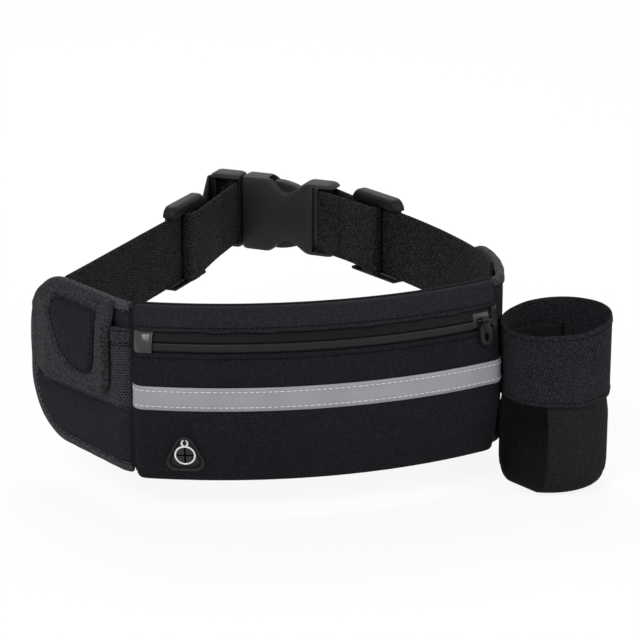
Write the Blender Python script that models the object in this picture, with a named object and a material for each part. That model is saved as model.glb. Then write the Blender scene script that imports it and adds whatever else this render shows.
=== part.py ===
"""A waist pack: a curved zip pouch between two wings, worn on an elastic strap with a side-release buckle.

The left wing carries a key pocket with a flap, the right wing an elastic bottle holder, and a tri-glide
adjusts each half of the strap. Metres, +Z up, front towards -Y. The origin is on the wearer's axis, level
with the pouch's bottom edge. Angles are in degrees.
"""

import math

import bmesh
import bpy
from mathutils import Vector

# Clearance between pieces that are sewn or seated against each other
GAP = 0.0003

# Pouch: an arc in plan round a vertical axis behind the wearer's front
ARC_CENTRE_Y = 0.122
BACK_RADIUS = 0.234
POUCH_HALF_ANGLE = 23.4
POUCH_HEIGHT = 0.0925
BACK_THICK = 0.0022
PAD_THICK = 0.0023
PAD_INSET = 0.003
WALL = 0.0018
BOTTOM_DEPTH = 0.0078
BELLY_DEPTH = 0.0150
BELLY_HEIGHT = 0.040
TOP_DEPTH = 0.0048
END_DEPTH_SHARE = 0.5
TAPER_LENGTH = 0.007
END_SEAM = 0.002
POUCH_STATIONS = 19
TAPER_STATIONS = 4

# Reflective stripe
STRIPE_LOW = 0.041
STRIPE_WIDTH = 0.0122
STRIPE_THICK = 0.0006

# Zip
ZIP_DROP = 0.0177
ZIP_OPENING = 0.0095
TAPE_WIDTH = 0.011
TAPE_THICK = 0.0007
TAPE_SPLIT = 0.0014
COIL_WIDTH = 0.0016
COIL_THICK = 0.0013
SLIDER_ANGLE = 20.4
SLIDER_LENGTH = 0.0095
SLIDER_HEIGHT = 0.0074
SLIDER_PLATE = 0.0012
NECK_LENGTH = 0.004
BAIL_RISE = 0.0023
BAIL_BAR = 0.0010
BAIL_POST = 0.0012
PULL_EYE_WIDTH = 0.0036
PULL_EYE_RADIUS = 0.0018
PULL_EYE_WALL = 0.0008
PULL_WIDTH = 0.0073
PULL_LENGTH = 0.0132
PULL_CORNER = 0.0025
PULL_FOOT = 0.0020
PULL_THICK = 0.0014
PULL_HOLE_WIDTH = 0.0030
PULL_HOLE_LENGTH = 0.0046
LEFT_GARAGE_LENGTH = 0.0080
RIGHT_GARAGE_LENGTH = 0.0055
GARAGE_HEIGHT = 0.012
GARAGE_THICK = 0.0006

# Earphone port
PORT_ANGLE = -17.0
PORT_HEIGHT = 0.0167
PORT_CORNER_RADIUS = 0.0049
PORT_HALF_BASE = 0.0049
PORT_BASE_DROP = 0.0043
PORT_PEAK_RISE = 0.0056
PORT_FLOOR = 0.0009
PORT_RIM = 0.0018
PORT_RIM_SHARE = 0.88
PORT_HOLE_RADIUS = 0.0042
PORT_SLIT_LENGTH = 0.0068
PORT_SLIT_WIDTH = 0.0008
RING_OUTER = 0.0055
RING_WIDTH = 0.0009
RING_THICK = 0.0005

# Wings
WING_LENGTH = 0.0825
WING_THICK = 0.003
WING_BOTTOM_RISE = 0.0040
WING_TOP_RISE = 0.0020
TIP_LENGTH = 0.030
TIP_BOTTOM_RISE = 0.034
TIP_TOP_DROP = 0.035
BINDING_WIDTH = 0.0045
BINDING_THICK = 0.0040
LEFT_BEND_LENGTH = 0.0075
LEFT_BEND = -36.0
RIGHT_BEND_LENGTH = 0.010
RIGHT_BEND = 47.0
RIGHT_CURVE_LENGTH = 0.048
RIGHT_CURVE = 29.0

# Key pocket and its flap on the left wing
POCKET_START = 0.0012
POCKET_END = 0.0700
POCKET_LOW = 0.0352
POCKET_DROP = 0.0235
POCKET_DEPTH = 0.0025
POCKET_WALL = 0.0012
POCKET_EASE = 0.009
POCKET_LIP = 0.004
HEM_WIDTH = 0.010
HEM_EXTRA = 0.0004
FLAP_START = 0.0080
FLAP_END = 0.081
FLAP_LOW = 0.0395
FLAP_CORNER = 0.010
FLAP_HINGE_DROP = 0.0057
FLAP_THICK = 0.0014
FLAP_TOP = 0.0005
FLAP_SHOULDER_DROP = 0.0078
FLAP_FOLD = 0.003
SEAM_STRIP_HEIGHT = 0.0034
SEAM_STRIP_THICK = 0.0008
PATCH_START = 0.034
PATCH_LENGTH = 0.016
PATCH_LOW = 0.050
PATCH_HEIGHT = 0.012
PATCH_THICK = 0.0004

# Bottle holder on the right wing
HOLDER_ALONG = 0.0075
BAND_INNER_RADIUS = 0.0278
BAND_THICK = 0.0016
BAND_LOW = 0.0315
BAND_WIDTH = 0.038
BAND_LIFT = 0.006
BAND_HIGH_SIDE = 20.0
BASE_STRAP_TURN = -64.0
BASE_STRAP_WIDTH = 0.048
BASE_STRAP_THICK = 0.0016
BASE_STRAP_TOP = 0.060
HOLDER_DROP = 0.0180
BASE_STRAP_CORNER = 0.008

# Waist strap
STRAP_WIDTH = 0.040
STRAP_THICK = 0.0016
STRAP_MIDDLE = 0.072
STRAP_TAIL_START = 0.030
STRAP_LEAVE = 0.058
STRAP_CORNER = 0.006
LEFT_STRAP_END_X = -0.0259
LEFT_STRAP_END_Y = 0.0912
RIGHT_STRAP_END_X = 0.0622
RIGHT_STRAP_END_Y = 0.0785
LOOP_WIDTH = 0.038
LOOP_CORNER = 0.0018
RETURN_SHARE = 0.5

# Tri-glides
GLIDE_LENGTH = 0.040
LEFT_GLIDE_BACK = 0.024
RIGHT_GLIDE_BACK = 0.0205
GLIDE_BAR = 0.005
GLIDE_BAR_THICK = 0.003
GLIDE_TOP_RAIL = 0.0055
GLIDE_BOTTOM_RAIL = 0.0020
GLIDE_RAIL_SETBACK = 0.0002
GLIDE_CORNER = 0.006
GLIDE_SIDE_GAP = 0.0004
GLIDE_BAR_INSET = 0.0004

# Side-release buckle: measured along its own line from the plug's outer end
BUCKLE_START_X = -0.0114
BUCKLE_START_Y = 0.1415
BUCKLE_HEADING = -35.0
BUCKLE_MIDDLE = 0.0745
BUCKLE_HEIGHT = 0.0455
BUCKLE_THICK = 0.014
BAR_THICK = 0.005
SLOT_SIDE_GAP = 0.0006
PLUG_LENGTH = 0.0216
PLUG_THICK = 0.013
PLUG_CORNER = 0.006
PLUG_OUTER_BAR = 0.004
PLUG_INNER_BAR_START = 0.0115
PLUG_INNER_BAR_END = 0.0165
PLUG_SLOT_END = 0.0204
PLUG_WEB_END = 0.026
TONGUE_END = 0.050
TONGUE_HEIGHT = 0.008
TONGUE_THICK = 0.003
SOCKET_START = 0.022
SOCKET_END = 0.082
SOCKET_WAIST_START = 0.0375
SOCKET_WAIST = 0.0515
SOCKET_WAIST_END = 0.0655
SOCKET_WAIST_HEIGHT = 0.030
SOCKET_TAIL_HEIGHT = 0.0445
SOCKET_TAIL_CORNER = 0.005
CAVITY_HEIGHT = 0.0386
CAVITY_THICK = 0.0072
CAVITY_END = 0.0645
SOCKET_SLOT_START = 0.0678
SOCKET_SLOT_END = 0.0722
SOCKET_BAR_END = 0.0775
CAVITY_SIDE_GAP = 0.0004
PRONG_PIVOT = 0.0275
PRONG_MIDDLE = 0.0110
PRONG_ROOT_HEIGHT = 0.0038
PRONG_SHOULDER = 0.0397
PRONG_BUTTON_END = 0.0590
PRONG_BUTTON_DROP = 0.0036
WINDOW_GAP = 0.0006
PRONG_BUTTON_HEIGHT = 0.0208
BUCKLE_EDGE = 0.0030

# Values that follow from the driving dimensions
POCKET_HIGH = POUCH_HEIGHT - POCKET_DROP
ZIP_HEIGHT = POUCH_HEIGHT - ZIP_DROP
FLAP_HINGE_HEIGHT = POUCH_HEIGHT - FLAP_HINGE_DROP
FLAP_SHOULDER = POUCH_HEIGHT - FLAP_HINGE_DROP - FLAP_SHOULDER_DROP
BINDING_HALF = BINDING_THICK / 2
WING_HALF = WING_THICK / 2
STRAP_LOW = STRAP_MIDDLE - STRAP_WIDTH / 2
STRAP_HIGH = STRAP_MIDDLE + STRAP_WIDTH / 2
LOOP_LOW = BUCKLE_MIDDLE - LOOP_WIDTH / 2
LOOP_HIGH = BUCKLE_MIDDLE + LOOP_WIDTH / 2
STRAP_LAYER = STRAP_THICK / 2 + GAP
BAND_OUTER_RADIUS = BAND_INNER_RADIUS + BAND_THICK
SLOT_HALF = LOOP_WIDTH / 2 + SLOT_SIDE_GAP
ARC_CENTRE = Vector((0, ARC_CENTRE_Y, 0))
LEFT_STRAP_END = Vector((LEFT_STRAP_END_X, LEFT_STRAP_END_Y, 0))
RIGHT_STRAP_END = Vector((RIGHT_STRAP_END_X, RIGHT_STRAP_END_Y, 0))
UP = Vector((0, 0, 1))


def clear_scene():
    for old in list(bpy.data.objects):
        bpy.data.objects.remove(old, do_unlink=True)


def finish(name, colour, roughness, metallic=0.0):
    """A plain surface finish for one kind of piece."""
    made = bpy.data.materials.new(name)
    made.use_nodes = True
    shader = made.node_tree.nodes["Principled BSDF"]
    shader.inputs["Base Color"].default_value = (*colour, 1)
    shader.inputs["Roughness"].default_value = roughness
    shader.inputs["Metallic"].default_value = metallic
    return made


def spread(start, end, count):
    """Evenly spaced values from start to end, both included."""
    return [start + (end - start) * i / (count - 1) for i in range(count)]


def smooth(share):
    """An S-curve from 0 to 1, flat at both ends."""
    share = min(max(share, 0), 1)
    return share * share * (3 - 2 * share)


def plan(heading):
    """The unit direction of a heading in plan."""
    turn = math.radians(heading)
    return Vector((math.cos(turn), math.sin(turn), 0))


def loft(rows, closed=False):
    """A closed skin over rows of points, with flat caps unless the rows come round to the first."""
    mesh = bmesh.new()
    rings = [[mesh.verts.new(point) for point in row] for row in rows]
    pairs = list(zip(rings, rings[1:]))
    if closed:
        pairs.append((rings[-1], rings[0]))
    else:
        mesh.faces.new(rings[0])
        mesh.faces.new(rings[-1])
    count = len(rings[0])
    for near, far in pairs:
        for i in range(count):
            j = (i + 1) % count
            mesh.faces.new((near[i], near[j], far[j], far[i]))
    bmesh.ops.recalc_face_normals(mesh, faces=mesh.faces)
    return mesh


def piece(name, mesh, surface, origin=None, parent=None):
    """An object from a mesh in world places, with its origin at a given point."""
    origin = Vector(origin or (0, 0, 0))
    bmesh.ops.translate(mesh, verts=mesh.verts, vec=-origin)
    data = bpy.data.meshes.new(name)
    mesh.to_mesh(data)
    mesh.free()
    made = bpy.data.objects.new(name, data)
    bpy.context.scene.collection.objects.link(made)
    made.location = origin
    if surface:
        data.materials.append(surface)
    if parent:
        made.location = origin - parent.location
        made.parent = parent
    return made


def pivot(name, place):
    """An empty that marks a joint's axis."""
    made = bpy.data.objects.new(name, None)
    made.location = place
    made.empty_display_size = 0.01
    bpy.context.scene.collection.objects.link(made)
    return made


def shape_with(target, mesh, operation):
    """Joins a mesh to a piece, or cuts it away, with a hidden helper object."""
    helper = piece(f"{target.name}_{operation.lower()}_{len(target.modifiers)}", mesh, None)
    helper.hide_render = True
    helper.display_type = "WIRE"
    step = target.modifiers.new(operation.title(), "BOOLEAN")
    step.operation = operation
    step.solver = "EXACT"
    step.object = helper


def round_edges(target, width, segments=2):
    step = target.modifiers.new("Edges", "BEVEL")
    step.width = width
    step.segments = segments
    step.limit_method = "ANGLE"
    step.angle_limit = math.radians(50)


class Route:
    """A line in plan made of straight and round stretches, each given as its length and its turn."""

    def __init__(self, start, heading, stretches, outside):
        self.outside = outside
        self.marks = []
        point, along = Vector((start[0], start[1], 0)), 0.0
        for length, turn in stretches:
            self.marks.append((along, point, heading, length, turn))
            point, heading = self.step(point, heading, length, turn, length)
            along += length
        self.length = along

    @staticmethod
    def step(point, heading, length, turn, distance):
        if abs(turn) < 1e-6:
            return point + plan(heading) * distance, heading
        radius = length / math.radians(turn)
        centre = point + plan(heading + 90) * radius
        now = heading + turn * distance / length
        return centre - plan(now + 90) * radius, now

    def place(self, along):
        """The point and heading at a distance along the line."""
        mark = self.marks[0]
        for other in self.marks:
            if along >= other[0]:
                mark = other
        start, point, heading, length, turn = mark
        if along > start + length:
            end, now = self.step(point, heading, length, turn, length)
            return end + plan(now) * (along - start - length), now
        return self.step(point, heading, length, turn, along - start)

    def at(self, along, out=0.0, height=0.0):
        """A point beside the line: out is away from the wearer."""
        point, heading = self.place(along)
        return point + plan(heading + 90 * self.outside) * out + UP * height


def arc_between(start, heading, end):
    """Length and turn of the arc that leaves start on a heading and reaches end."""
    chord = Vector((end[0] - start[0], end[1] - start[1], 0))
    swing = math.degrees(math.atan2(chord.y, chord.x)) - heading
    swing = (swing + 180) % 360 - 180
    half = math.radians(swing)
    length = chord.length * (half / math.sin(half) if abs(half) > 1e-6 else 1)
    return length, 2 * swing


def rounded(points, radius, steps=4):
    """A plan line through corner points, with each corner turned on an arc."""
    line = [points[0]]
    for before, corner, after in zip(points, points[1:], points[2:]):
        inward, outward = (before - corner).normalized(), (after - corner).normalized()
        half = inward.angle(outward) / 2
        middle = (inward + outward).normalized()
        centre = corner + middle * (radius / math.sin(half))
        reach = radius / math.tan(half)
        start, end = corner + inward * reach - centre, corner + outward * reach - centre
        for share in spread(0, 1, steps + 1):
            line.append(centre + start.slerp(end, share).normalized() * radius)
    line.append(points[-1])
    return line


def flat_band(line, thick, low, high):
    """A strip of webbing on edge, its middle on a plan line."""
    rows = []
    for i, point in enumerate(line):
        before = (point - line[i - 1]).normalized() if i else None
        after = (line[i + 1] - point).normalized() if i + 1 < len(line) else None
        ahead = ((before or after) + (after or before)).normalized()
        stretch = 1 / max(ahead.dot(after or before), 0.5)
        aside = Vector((-ahead.y, ahead.x, 0)) * (thick / 2 * stretch)
        rows.append([point + aside * s + UP * z for s, z in ((-1, low), (1, low), (1, high), (-1, high))])
    return loft(rows)


def prism(outline, near, far, place):
    """An outline extruded from near to far, put in its place by a function of three local distances."""
    return loft([[place(a, depth, b) for a, b in outline] for depth in (near, far)])


def block(along, across, up, place):
    """A box between local limits."""
    outline = [(along[0], up[0]), (along[1], up[0]), (along[1], up[1]), (along[0], up[1])]
    return prism(outline, across[0], across[1], place)


# The pouch

def pouch_depth(height):
    """How far the pouch's outer skin stands in front of the back panel."""
    if height < BELLY_HEIGHT:
        share = (BELLY_HEIGHT - height) / BELLY_HEIGHT
        return BELLY_DEPTH - (BELLY_DEPTH - BOTTOM_DEPTH) * share ** 2
    share = (height - BELLY_HEIGHT) / (POUCH_HEIGHT - BELLY_HEIGHT)
    return BELLY_DEPTH - (BELLY_DEPTH - TOP_DEPTH) * share ** 2


def taper_start():
    return POUCH_HALF_ANGLE - math.degrees(TAPER_LENGTH / BACK_RADIUS)


def pouch_point(angle, depth, height):
    """A point at an angle along the arc, with depth in front of the back panel, drawn in at the ends."""
    share = (abs(angle) - taper_start()) / (POUCH_HALF_ANGLE - taper_start())
    if depth > 0:
        depth *= 1 - (1 - END_DEPTH_SHARE) * smooth(share)
    turn = math.radians(angle)
    outward = Vector((math.sin(turn), -math.cos(turn), 0))
    return ARC_CENTRE + outward * (BACK_RADIUS + depth) + UP * height


def pouch_angles(start, end):
    """Stations along the arc, closer together where the ends draw in."""
    middle = spread(-taper_start(), taper_start(), POUCH_STATIONS)
    ends = spread(taper_start(), POUCH_HALF_ANGLE, TAPER_STATIONS)
    stations = sorted(set(middle + ends + [-angle for angle in ends]))
    inside = [angle for angle in stations if start + 0.2 < angle < end - 0.2]
    return [start] + inside + [end]


def pouch_sweep(section, start=-POUCH_HALF_ANGLE, end=POUCH_HALF_ANGLE):
    """A section of depths and heights swept along the pouch's arc."""
    rows = [[pouch_point(angle, *corner) for corner in section] for angle in pouch_angles(start, end)]
    return loft(rows)


def skin_section(low, high, inner, outer, count):
    """A section that follows the pouch's skin, between two offsets from it."""
    heights = spread(low, high, count)
    front = [(pouch_depth(height) + outer, height) for height in heights]
    back = [(pouch_depth(height) + inner, height) for height in reversed(heights)]
    return front + back


def arc_degrees(length):
    """The angle of a short length at the back panel."""
    return math.degrees(length / BACK_RADIUS)


TAPE_OUT = -WALL - GAP
COIL_OUT = TAPE_OUT - TAPE_THICK - GAP
SLIDER_BACK_OUT = COIL_OUT - COIL_THICK - GAP
SLIDER_FRONT_IN = TAPE_OUT + GAP


def make_pouch(fabric, mesh_fabric, lining):
    back = [(-BACK_THICK, 0), (0, 0), (0, POUCH_HEIGHT), (-BACK_THICK, POUCH_HEIGHT)]
    piece("back_panel", pouch_sweep(back), lining)

    pad_out, pad_in = -BACK_THICK - GAP, -BACK_THICK - GAP - PAD_THICK
    low, high = PAD_INSET, POUCH_HEIGHT - PAD_INSET
    piece("back_mesh_pad", pouch_sweep([(pad_in, low), (pad_out, low), (pad_out, high), (pad_in, high)]),
          mesh_fabric)

    zip_low, zip_high = ZIP_HEIGHT - ZIP_OPENING / 2, ZIP_HEIGHT + ZIP_OPENING / 2
    outer = [(pouch_depth(height), height) for height in spread(0, zip_low, 10)]
    inner = [(pouch_depth(height) - WALL, height) for height in spread(zip_low, WALL, 9)]
    front = piece("front_panel", pouch_sweep([(GAP, 0)] + outer + inner + [(GAP, WALL)]), fabric)
    shape_with(front, port_cylinder(PORT_HOLE_RADIUS, -2 * WALL, WALL), "DIFFERENCE")

    outer = [(pouch_depth(height), height) for height in spread(zip_high, POUCH_HEIGHT, 6)]
    inner = [(pouch_depth(height) - WALL, height) for height in spread(POUCH_HEIGHT - WALL, zip_high, 5)]
    piece("top_panel", pouch_sweep(outer + [(GAP, POUCH_HEIGHT), (GAP, POUCH_HEIGHT - WALL)] + inner), fabric)

    seam = [(pouch_depth(height), height) for height in spread(0, POUCH_HEIGHT, 8)]
    seam = [(-BACK_THICK, 0)] + seam + [(-BACK_THICK, POUCH_HEIGHT)]
    near = POUCH_HALF_ANGLE + arc_degrees(GAP)
    far = near + arc_degrees(END_SEAM)
    piece("left_end_seam", pouch_sweep(seam, -far, -near), fabric)
    piece("right_end_seam", pouch_sweep(seam, near, far), fabric)


def make_stripe(reflector):
    section = skin_section(STRIPE_LOW, STRIPE_LOW + STRIPE_WIDTH, GAP, GAP + STRIPE_THICK, 4)
    piece("reflective_stripe", pouch_sweep(section), reflector)


def make_zip(tape, coil, film):
    edge = TAPE_SPLIT / 2
    sides = {"lower": -1, "upper": 1}
    for name, side in sides.items():
        near, far = ZIP_HEIGHT + side * edge, ZIP_HEIGHT + side * (edge + TAPE_WIDTH)
        section = skin_section(min(near, far), max(near, far), TAPE_OUT - TAPE_THICK, TAPE_OUT, 4)
        piece(f"{name}_zip_tape", pouch_sweep(section), tape)
        far = ZIP_HEIGHT + side * (edge + COIL_WIDTH)
        section = skin_section(min(near, far), max(near, far), COIL_OUT - COIL_THICK, COIL_OUT, 2)
        piece(f"{name}_zip_coil", pouch_sweep(section), coil)

    low, high = ZIP_HEIGHT - GARAGE_HEIGHT / 2, ZIP_HEIGHT + GARAGE_HEIGHT / 2
    section = skin_section(low, high, GAP, GAP + GARAGE_THICK, 5)
    outer = POUCH_HALF_ANGLE
    left, right = outer - arc_degrees(LEFT_GARAGE_LENGTH), outer - arc_degrees(RIGHT_GARAGE_LENGTH)
    piece("left_zip_garage", pouch_sweep(section, -outer, -left), film)
    piece("right_zip_garage", pouch_sweep(section, right, outer), film)


def zip_place(along, out, up):
    """A point on the zip at the slider: along the zip, out from the slider's front plate and up the slope."""
    step = 0.001
    slope = (pouch_depth(ZIP_HEIGHT + step) - pouch_depth(ZIP_HEIGHT)) / step
    lean = math.atan(-slope)
    outward = plan(SLIDER_ANGLE - 90)
    normal = outward * math.cos(lean) + UP * math.sin(lean)
    rise = UP * math.cos(lean) - outward * math.sin(lean)
    plate = pouch_depth(ZIP_HEIGHT) + SLIDER_FRONT_IN + SLIDER_PLATE
    foot = pouch_point(SLIDER_ANGLE, plate, ZIP_HEIGHT)
    return foot + plan(SLIDER_ANGLE) * along + normal * out + rise * up


def make_slider(metal):
    """The slider: a plate on each side of the tapes, a neck between them and a bail for the pull."""
    low, high = ZIP_HEIGHT - SLIDER_HEIGHT / 2, ZIP_HEIGHT + SLIDER_HEIGHT / 2
    reach = arc_degrees(SLIDER_LENGTH / 2)
    start, end = SLIDER_ANGLE - reach, SLIDER_ANGLE + reach
    front = skin_section(low, high, SLIDER_FRONT_IN, SLIDER_FRONT_IN + SLIDER_PLATE, 3)
    axis = pivot("zip_travel_axis", ARC_CENTRE)
    slider = piece("zip_slider", pouch_sweep(front, start, end), metal, ARC_CENTRE, axis)

    back = skin_section(low, high, SLIDER_BACK_OUT - SLIDER_PLATE, SLIDER_BACK_OUT, 3)
    shape_with(slider, pouch_sweep(back, start, end), "UNION")
    neck_half = TAPE_SPLIT / 2 - GAP
    overlap = SLIDER_PLATE / 2
    neck = skin_section(ZIP_HEIGHT - neck_half, ZIP_HEIGHT + neck_half, SLIDER_BACK_OUT - overlap,
                        SLIDER_FRONT_IN + overlap, 2)
    reach = arc_degrees(NECK_LENGTH / 2)
    shape_with(slider, pouch_sweep(neck, SLIDER_ANGLE - reach, SLIDER_ANGLE + reach), "UNION")

    inner = PULL_EYE_WIDTH / 2 + GAP
    outer = inner + BAIL_POST
    half = BAIL_BAR / 2
    for side in (-1, 1):
        ends = sorted((side * inner, side * outer))
        shape_with(slider, block(ends, (-overlap, BAIL_RISE + half), (-half, half), zip_place), "UNION")
    bar = block((-outer + half, outer - half), (BAIL_RISE - half, BAIL_RISE + half), (-half, half), zip_place)
    shape_with(slider, bar, "UNION")


def make_pull(metal):
    """The pull: an eye round the bail's bar and a flat tab with an oval hole, resting along the slope."""

    def place(along, out, up):
        return zip_place(along, BAIL_RISE + out, up)

    def circle(radius, along, count=16):
        turns = spread(0, 360 * (1 - 1 / count), count)
        return [place(along, *(plan(turn).xy * radius)) for turn in turns]

    half = PULL_EYE_WIDTH / 2
    bore = PULL_EYE_RADIUS - PULL_EYE_WALL
    eye = loft([circle(PULL_EYE_RADIUS, -half), circle(PULL_EYE_RADIUS, half), circle(bore, half),
                circle(bore, -half)], closed=True)
    axis = pivot("pull_swing_axis", place(0, 0, 0))
    pull = piece("zip_pull", eye, metal, place(0, 0, 0), axis)

    top, wide = -bore - PULL_EYE_WALL / 2, PULL_WIDTH / 2
    shoulder = top - half / 2
    corner = [plan(turn).xy * PULL_CORNER for turn in spread(0, -90, 5)]
    middle = (wide - PULL_CORNER, -PULL_LENGTH + PULL_CORNER)
    right = [(half, top), (half, shoulder), (wide, shoulder - wide + half)]
    right += [(middle[0] + x, middle[1] + y) for x, y in corner]
    outline = right + [(-x, y) for x, y in reversed(right)]
    shape_with(pull, prism(outline, -PULL_THICK / 2, PULL_THICK / 2, place), "UNION")
    hole, hole_middle = [], -PULL_LENGTH + PULL_FOOT + PULL_HOLE_LENGTH / 2
    for turn in spread(0, 360 * 15 / 16, 16):
        hole.append((PULL_HOLE_WIDTH / 2 * plan(turn).x, hole_middle + PULL_HOLE_LENGTH / 2 * plan(turn).y))
    shape_with(pull, prism(hole, -PULL_THICK, PULL_THICK, place), "DIFFERENCE")


# The earphone port

def port_place(along, lift, up):
    """A point on the front panel round the port, lifted off the skin."""
    height = PORT_HEIGHT + up
    angle = PORT_ANGLE + math.degrees(along / (BACK_RADIUS + BELLY_DEPTH))
    return pouch_point(angle, pouch_depth(height) + lift, height)


def port_cylinder(radius, near, far, count=20):
    outline = []
    for turn in spread(0, 360 * (1 - 1 / count), count):
        outline.append(tuple(plan(turn).xy * radius))
    return prism(outline, near, far, port_place)


def port_outline():
    """A triangle with round corners: the line round three equal circles."""
    corners = [(PORT_HALF_BASE, -PORT_BASE_DROP), (0, PORT_PEAK_RISE), (-PORT_HALF_BASE, -PORT_BASE_DROP)]
    corners = [Vector((x, y, 0)) for x, y in corners]
    outline = []
    for before, corner, after in zip(corners[-1:] + corners[:-1], corners, corners[1:] + corners[:1]):
        arrive = math.degrees(math.atan2(*(corner - before).yx)) - 90
        leave = math.degrees(math.atan2(*(after - corner).yx)) - 90
        swing = (leave - arrive) % 360
        for turn in spread(arrive, arrive + swing, 7):
            outline.append(corner + plan(turn) * PORT_CORNER_RADIUS)
    return outline


def make_port(rubber, white):
    """A rubber patch with a raised rim and a cross slit, and the ring round the slit."""
    outline = port_outline()
    steps = [(0.05, GAP), (0.5, GAP), (1, GAP), (1, PORT_RIM), (PORT_RIM_SHARE, PORT_RIM),
             (PORT_RIM_SHARE - 0.04, PORT_FLOOR), (0.5, PORT_FLOOR), (0.05, PORT_FLOOR)]
    rows = [[port_place(p.x * share, lift, p.y * share) for p in outline] for share, lift in steps]
    patch = piece("earphone_port", loft(rows), rubber)
    long, wide = PORT_SLIT_LENGTH / 2, PORT_SLIT_WIDTH / 2
    through = (-GAP, PORT_RIM)
    shape_with(patch, block((-long, long), through, (-wide, wide), port_place), "DIFFERENCE")
    shape_with(patch, block((-wide, wide), through, (-long, long), port_place), "DIFFERENCE")

    low, high = PORT_FLOOR + GAP, PORT_FLOOR + GAP + RING_THICK
    inner = RING_OUTER - RING_WIDTH
    rows = []
    for turn in spread(0, 360 * 23 / 24, 24):
        way = plan(turn)
        corners = ((inner, low), (RING_OUTER, low), (RING_OUTER, high), (inner, high))
        rows.append([port_place(way.x * radius, lift, way.y * radius) for radius, lift in corners])
    piece("earphone_ring", loft(rows, closed=True), white)


# The wings

def wing_route(side):
    """The middle line of a wing's panel, from the pouch's end seam to the tip: side is -1 left, 1 right."""
    reach = POUCH_HALF_ANGLE + arc_degrees(2 * GAP + END_SEAM)
    start = pouch_point(side * reach, -BACK_THICK / 2, 0)
    if side < 0:
        straight = WING_LENGTH - LEFT_BEND_LENGTH
        return Route(start, 180 - reach, [(LEFT_BEND_LENGTH, LEFT_BEND), (straight, 0)], 1)
    straight = WING_LENGTH - RIGHT_BEND_LENGTH - RIGHT_CURVE_LENGTH
    stretches = [(RIGHT_BEND_LENGTH, RIGHT_BEND), (RIGHT_CURVE_LENGTH, RIGHT_CURVE), (straight, 0)]
    return Route(start, reach, stretches, -1)


def wing_edges(along):
    """Lowest and highest height of a wing at a distance from the pouch."""
    low = WING_BOTTOM_RISE * along / WING_LENGTH
    high = POUCH_HEIGHT + WING_TOP_RISE * along / WING_LENGTH
    share = max(0.0, (along - WING_LENGTH + TIP_LENGTH) / TIP_LENGTH)
    round_off = 1 - math.sqrt(max(0.0, 1 - share ** 2))
    return low + (TIP_BOTTOM_RISE - WING_BOTTOM_RISE * 0.3) * round_off, high - TIP_TOP_DROP * round_off


def wing_stations():
    root = spread(0, RIGHT_BEND_LENGTH, 6)
    middle = spread(RIGHT_BEND_LENGTH, WING_LENGTH - TIP_LENGTH, 8)
    tip = [WING_LENGTH - TIP_LENGTH + TIP_LENGTH * math.sin(math.radians(a)) for a in spread(0, 90, 7)]
    return root + middle[1:] + tip[1:]


def wing_outline(inset):
    """The wing's edge from the pouch along the bottom, round the tip and back along the top."""
    stations = wing_stations()
    edge = [Vector((along, wing_edges(along)[0])) for along in stations]
    edge += [Vector((along, wing_edges(along)[1])) for along in reversed(stations)]
    moved = []
    for i, point in enumerate(edge):
        ahead = edge[min(i + 1, len(edge) - 1)] - edge[max(i - 1, 0)]
        inward = Vector((-ahead.y, ahead.x)).normalized()
        if i == 0:
            inward = Vector((0, 1))
        if i == len(edge) - 1:
            inward = Vector((0, -1))
        moved.append(point + inward * inset)
    return moved


def make_wing(name, route, fabric, binding):
    """A padded panel with a mesh binding folded over its free edge."""
    inner = wing_outline(BINDING_WIDTH + GAP)
    half = len(inner) // 2
    rows = []
    for low, high in zip(inner[:half], reversed(inner[half:])):
        corners = ((low, -WING_HALF), (low, WING_HALF), (high, WING_HALF), (high, -WING_HALF))
        rows.append([route.at(spot.x, out, spot.y) for spot, out in corners])
    piece(f"{name}_wing_panel", loft(rows), fabric)

    rows = []
    for edge, fold in zip(wing_outline(0), wing_outline(BINDING_WIDTH)):
        corners = ((edge, -BINDING_HALF), (edge, BINDING_HALF), (fold, BINDING_HALF), (fold, -BINDING_HALF))
        rows.append([route.at(spot.x, out, spot.y) for spot, out in corners])
    piece(f"{name}_wing_binding", loft(rows), binding)


# The key pocket

POCKET_FLOOR = WING_HALF + GAP
POCKET_OUT = POCKET_FLOOR + POCKET_DEPTH + POCKET_WALL
LOOP_PATCH_IN = POCKET_OUT + GAP
HOOK_PATCH_IN = LOOP_PATCH_IN + PATCH_THICK + GAP
FLAP_IN = HOOK_PATCH_IN + PATCH_THICK + GAP
FLAP_HINGE_IN = BINDING_HALF + 3 * GAP
FLAP_HINGE_OUT = FLAP_HINGE_IN + FLAP_THICK / 2


def pocket_stand(along):
    """How far the pocket stands off the wing: it lies flat at its two sewn sides."""
    rise = smooth((along - POCKET_START) / POCKET_EASE)
    fall = smooth((POCKET_END - along) / POCKET_EASE)
    return POCKET_FLOOR + POCKET_DEPTH * min(rise, fall)


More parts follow.
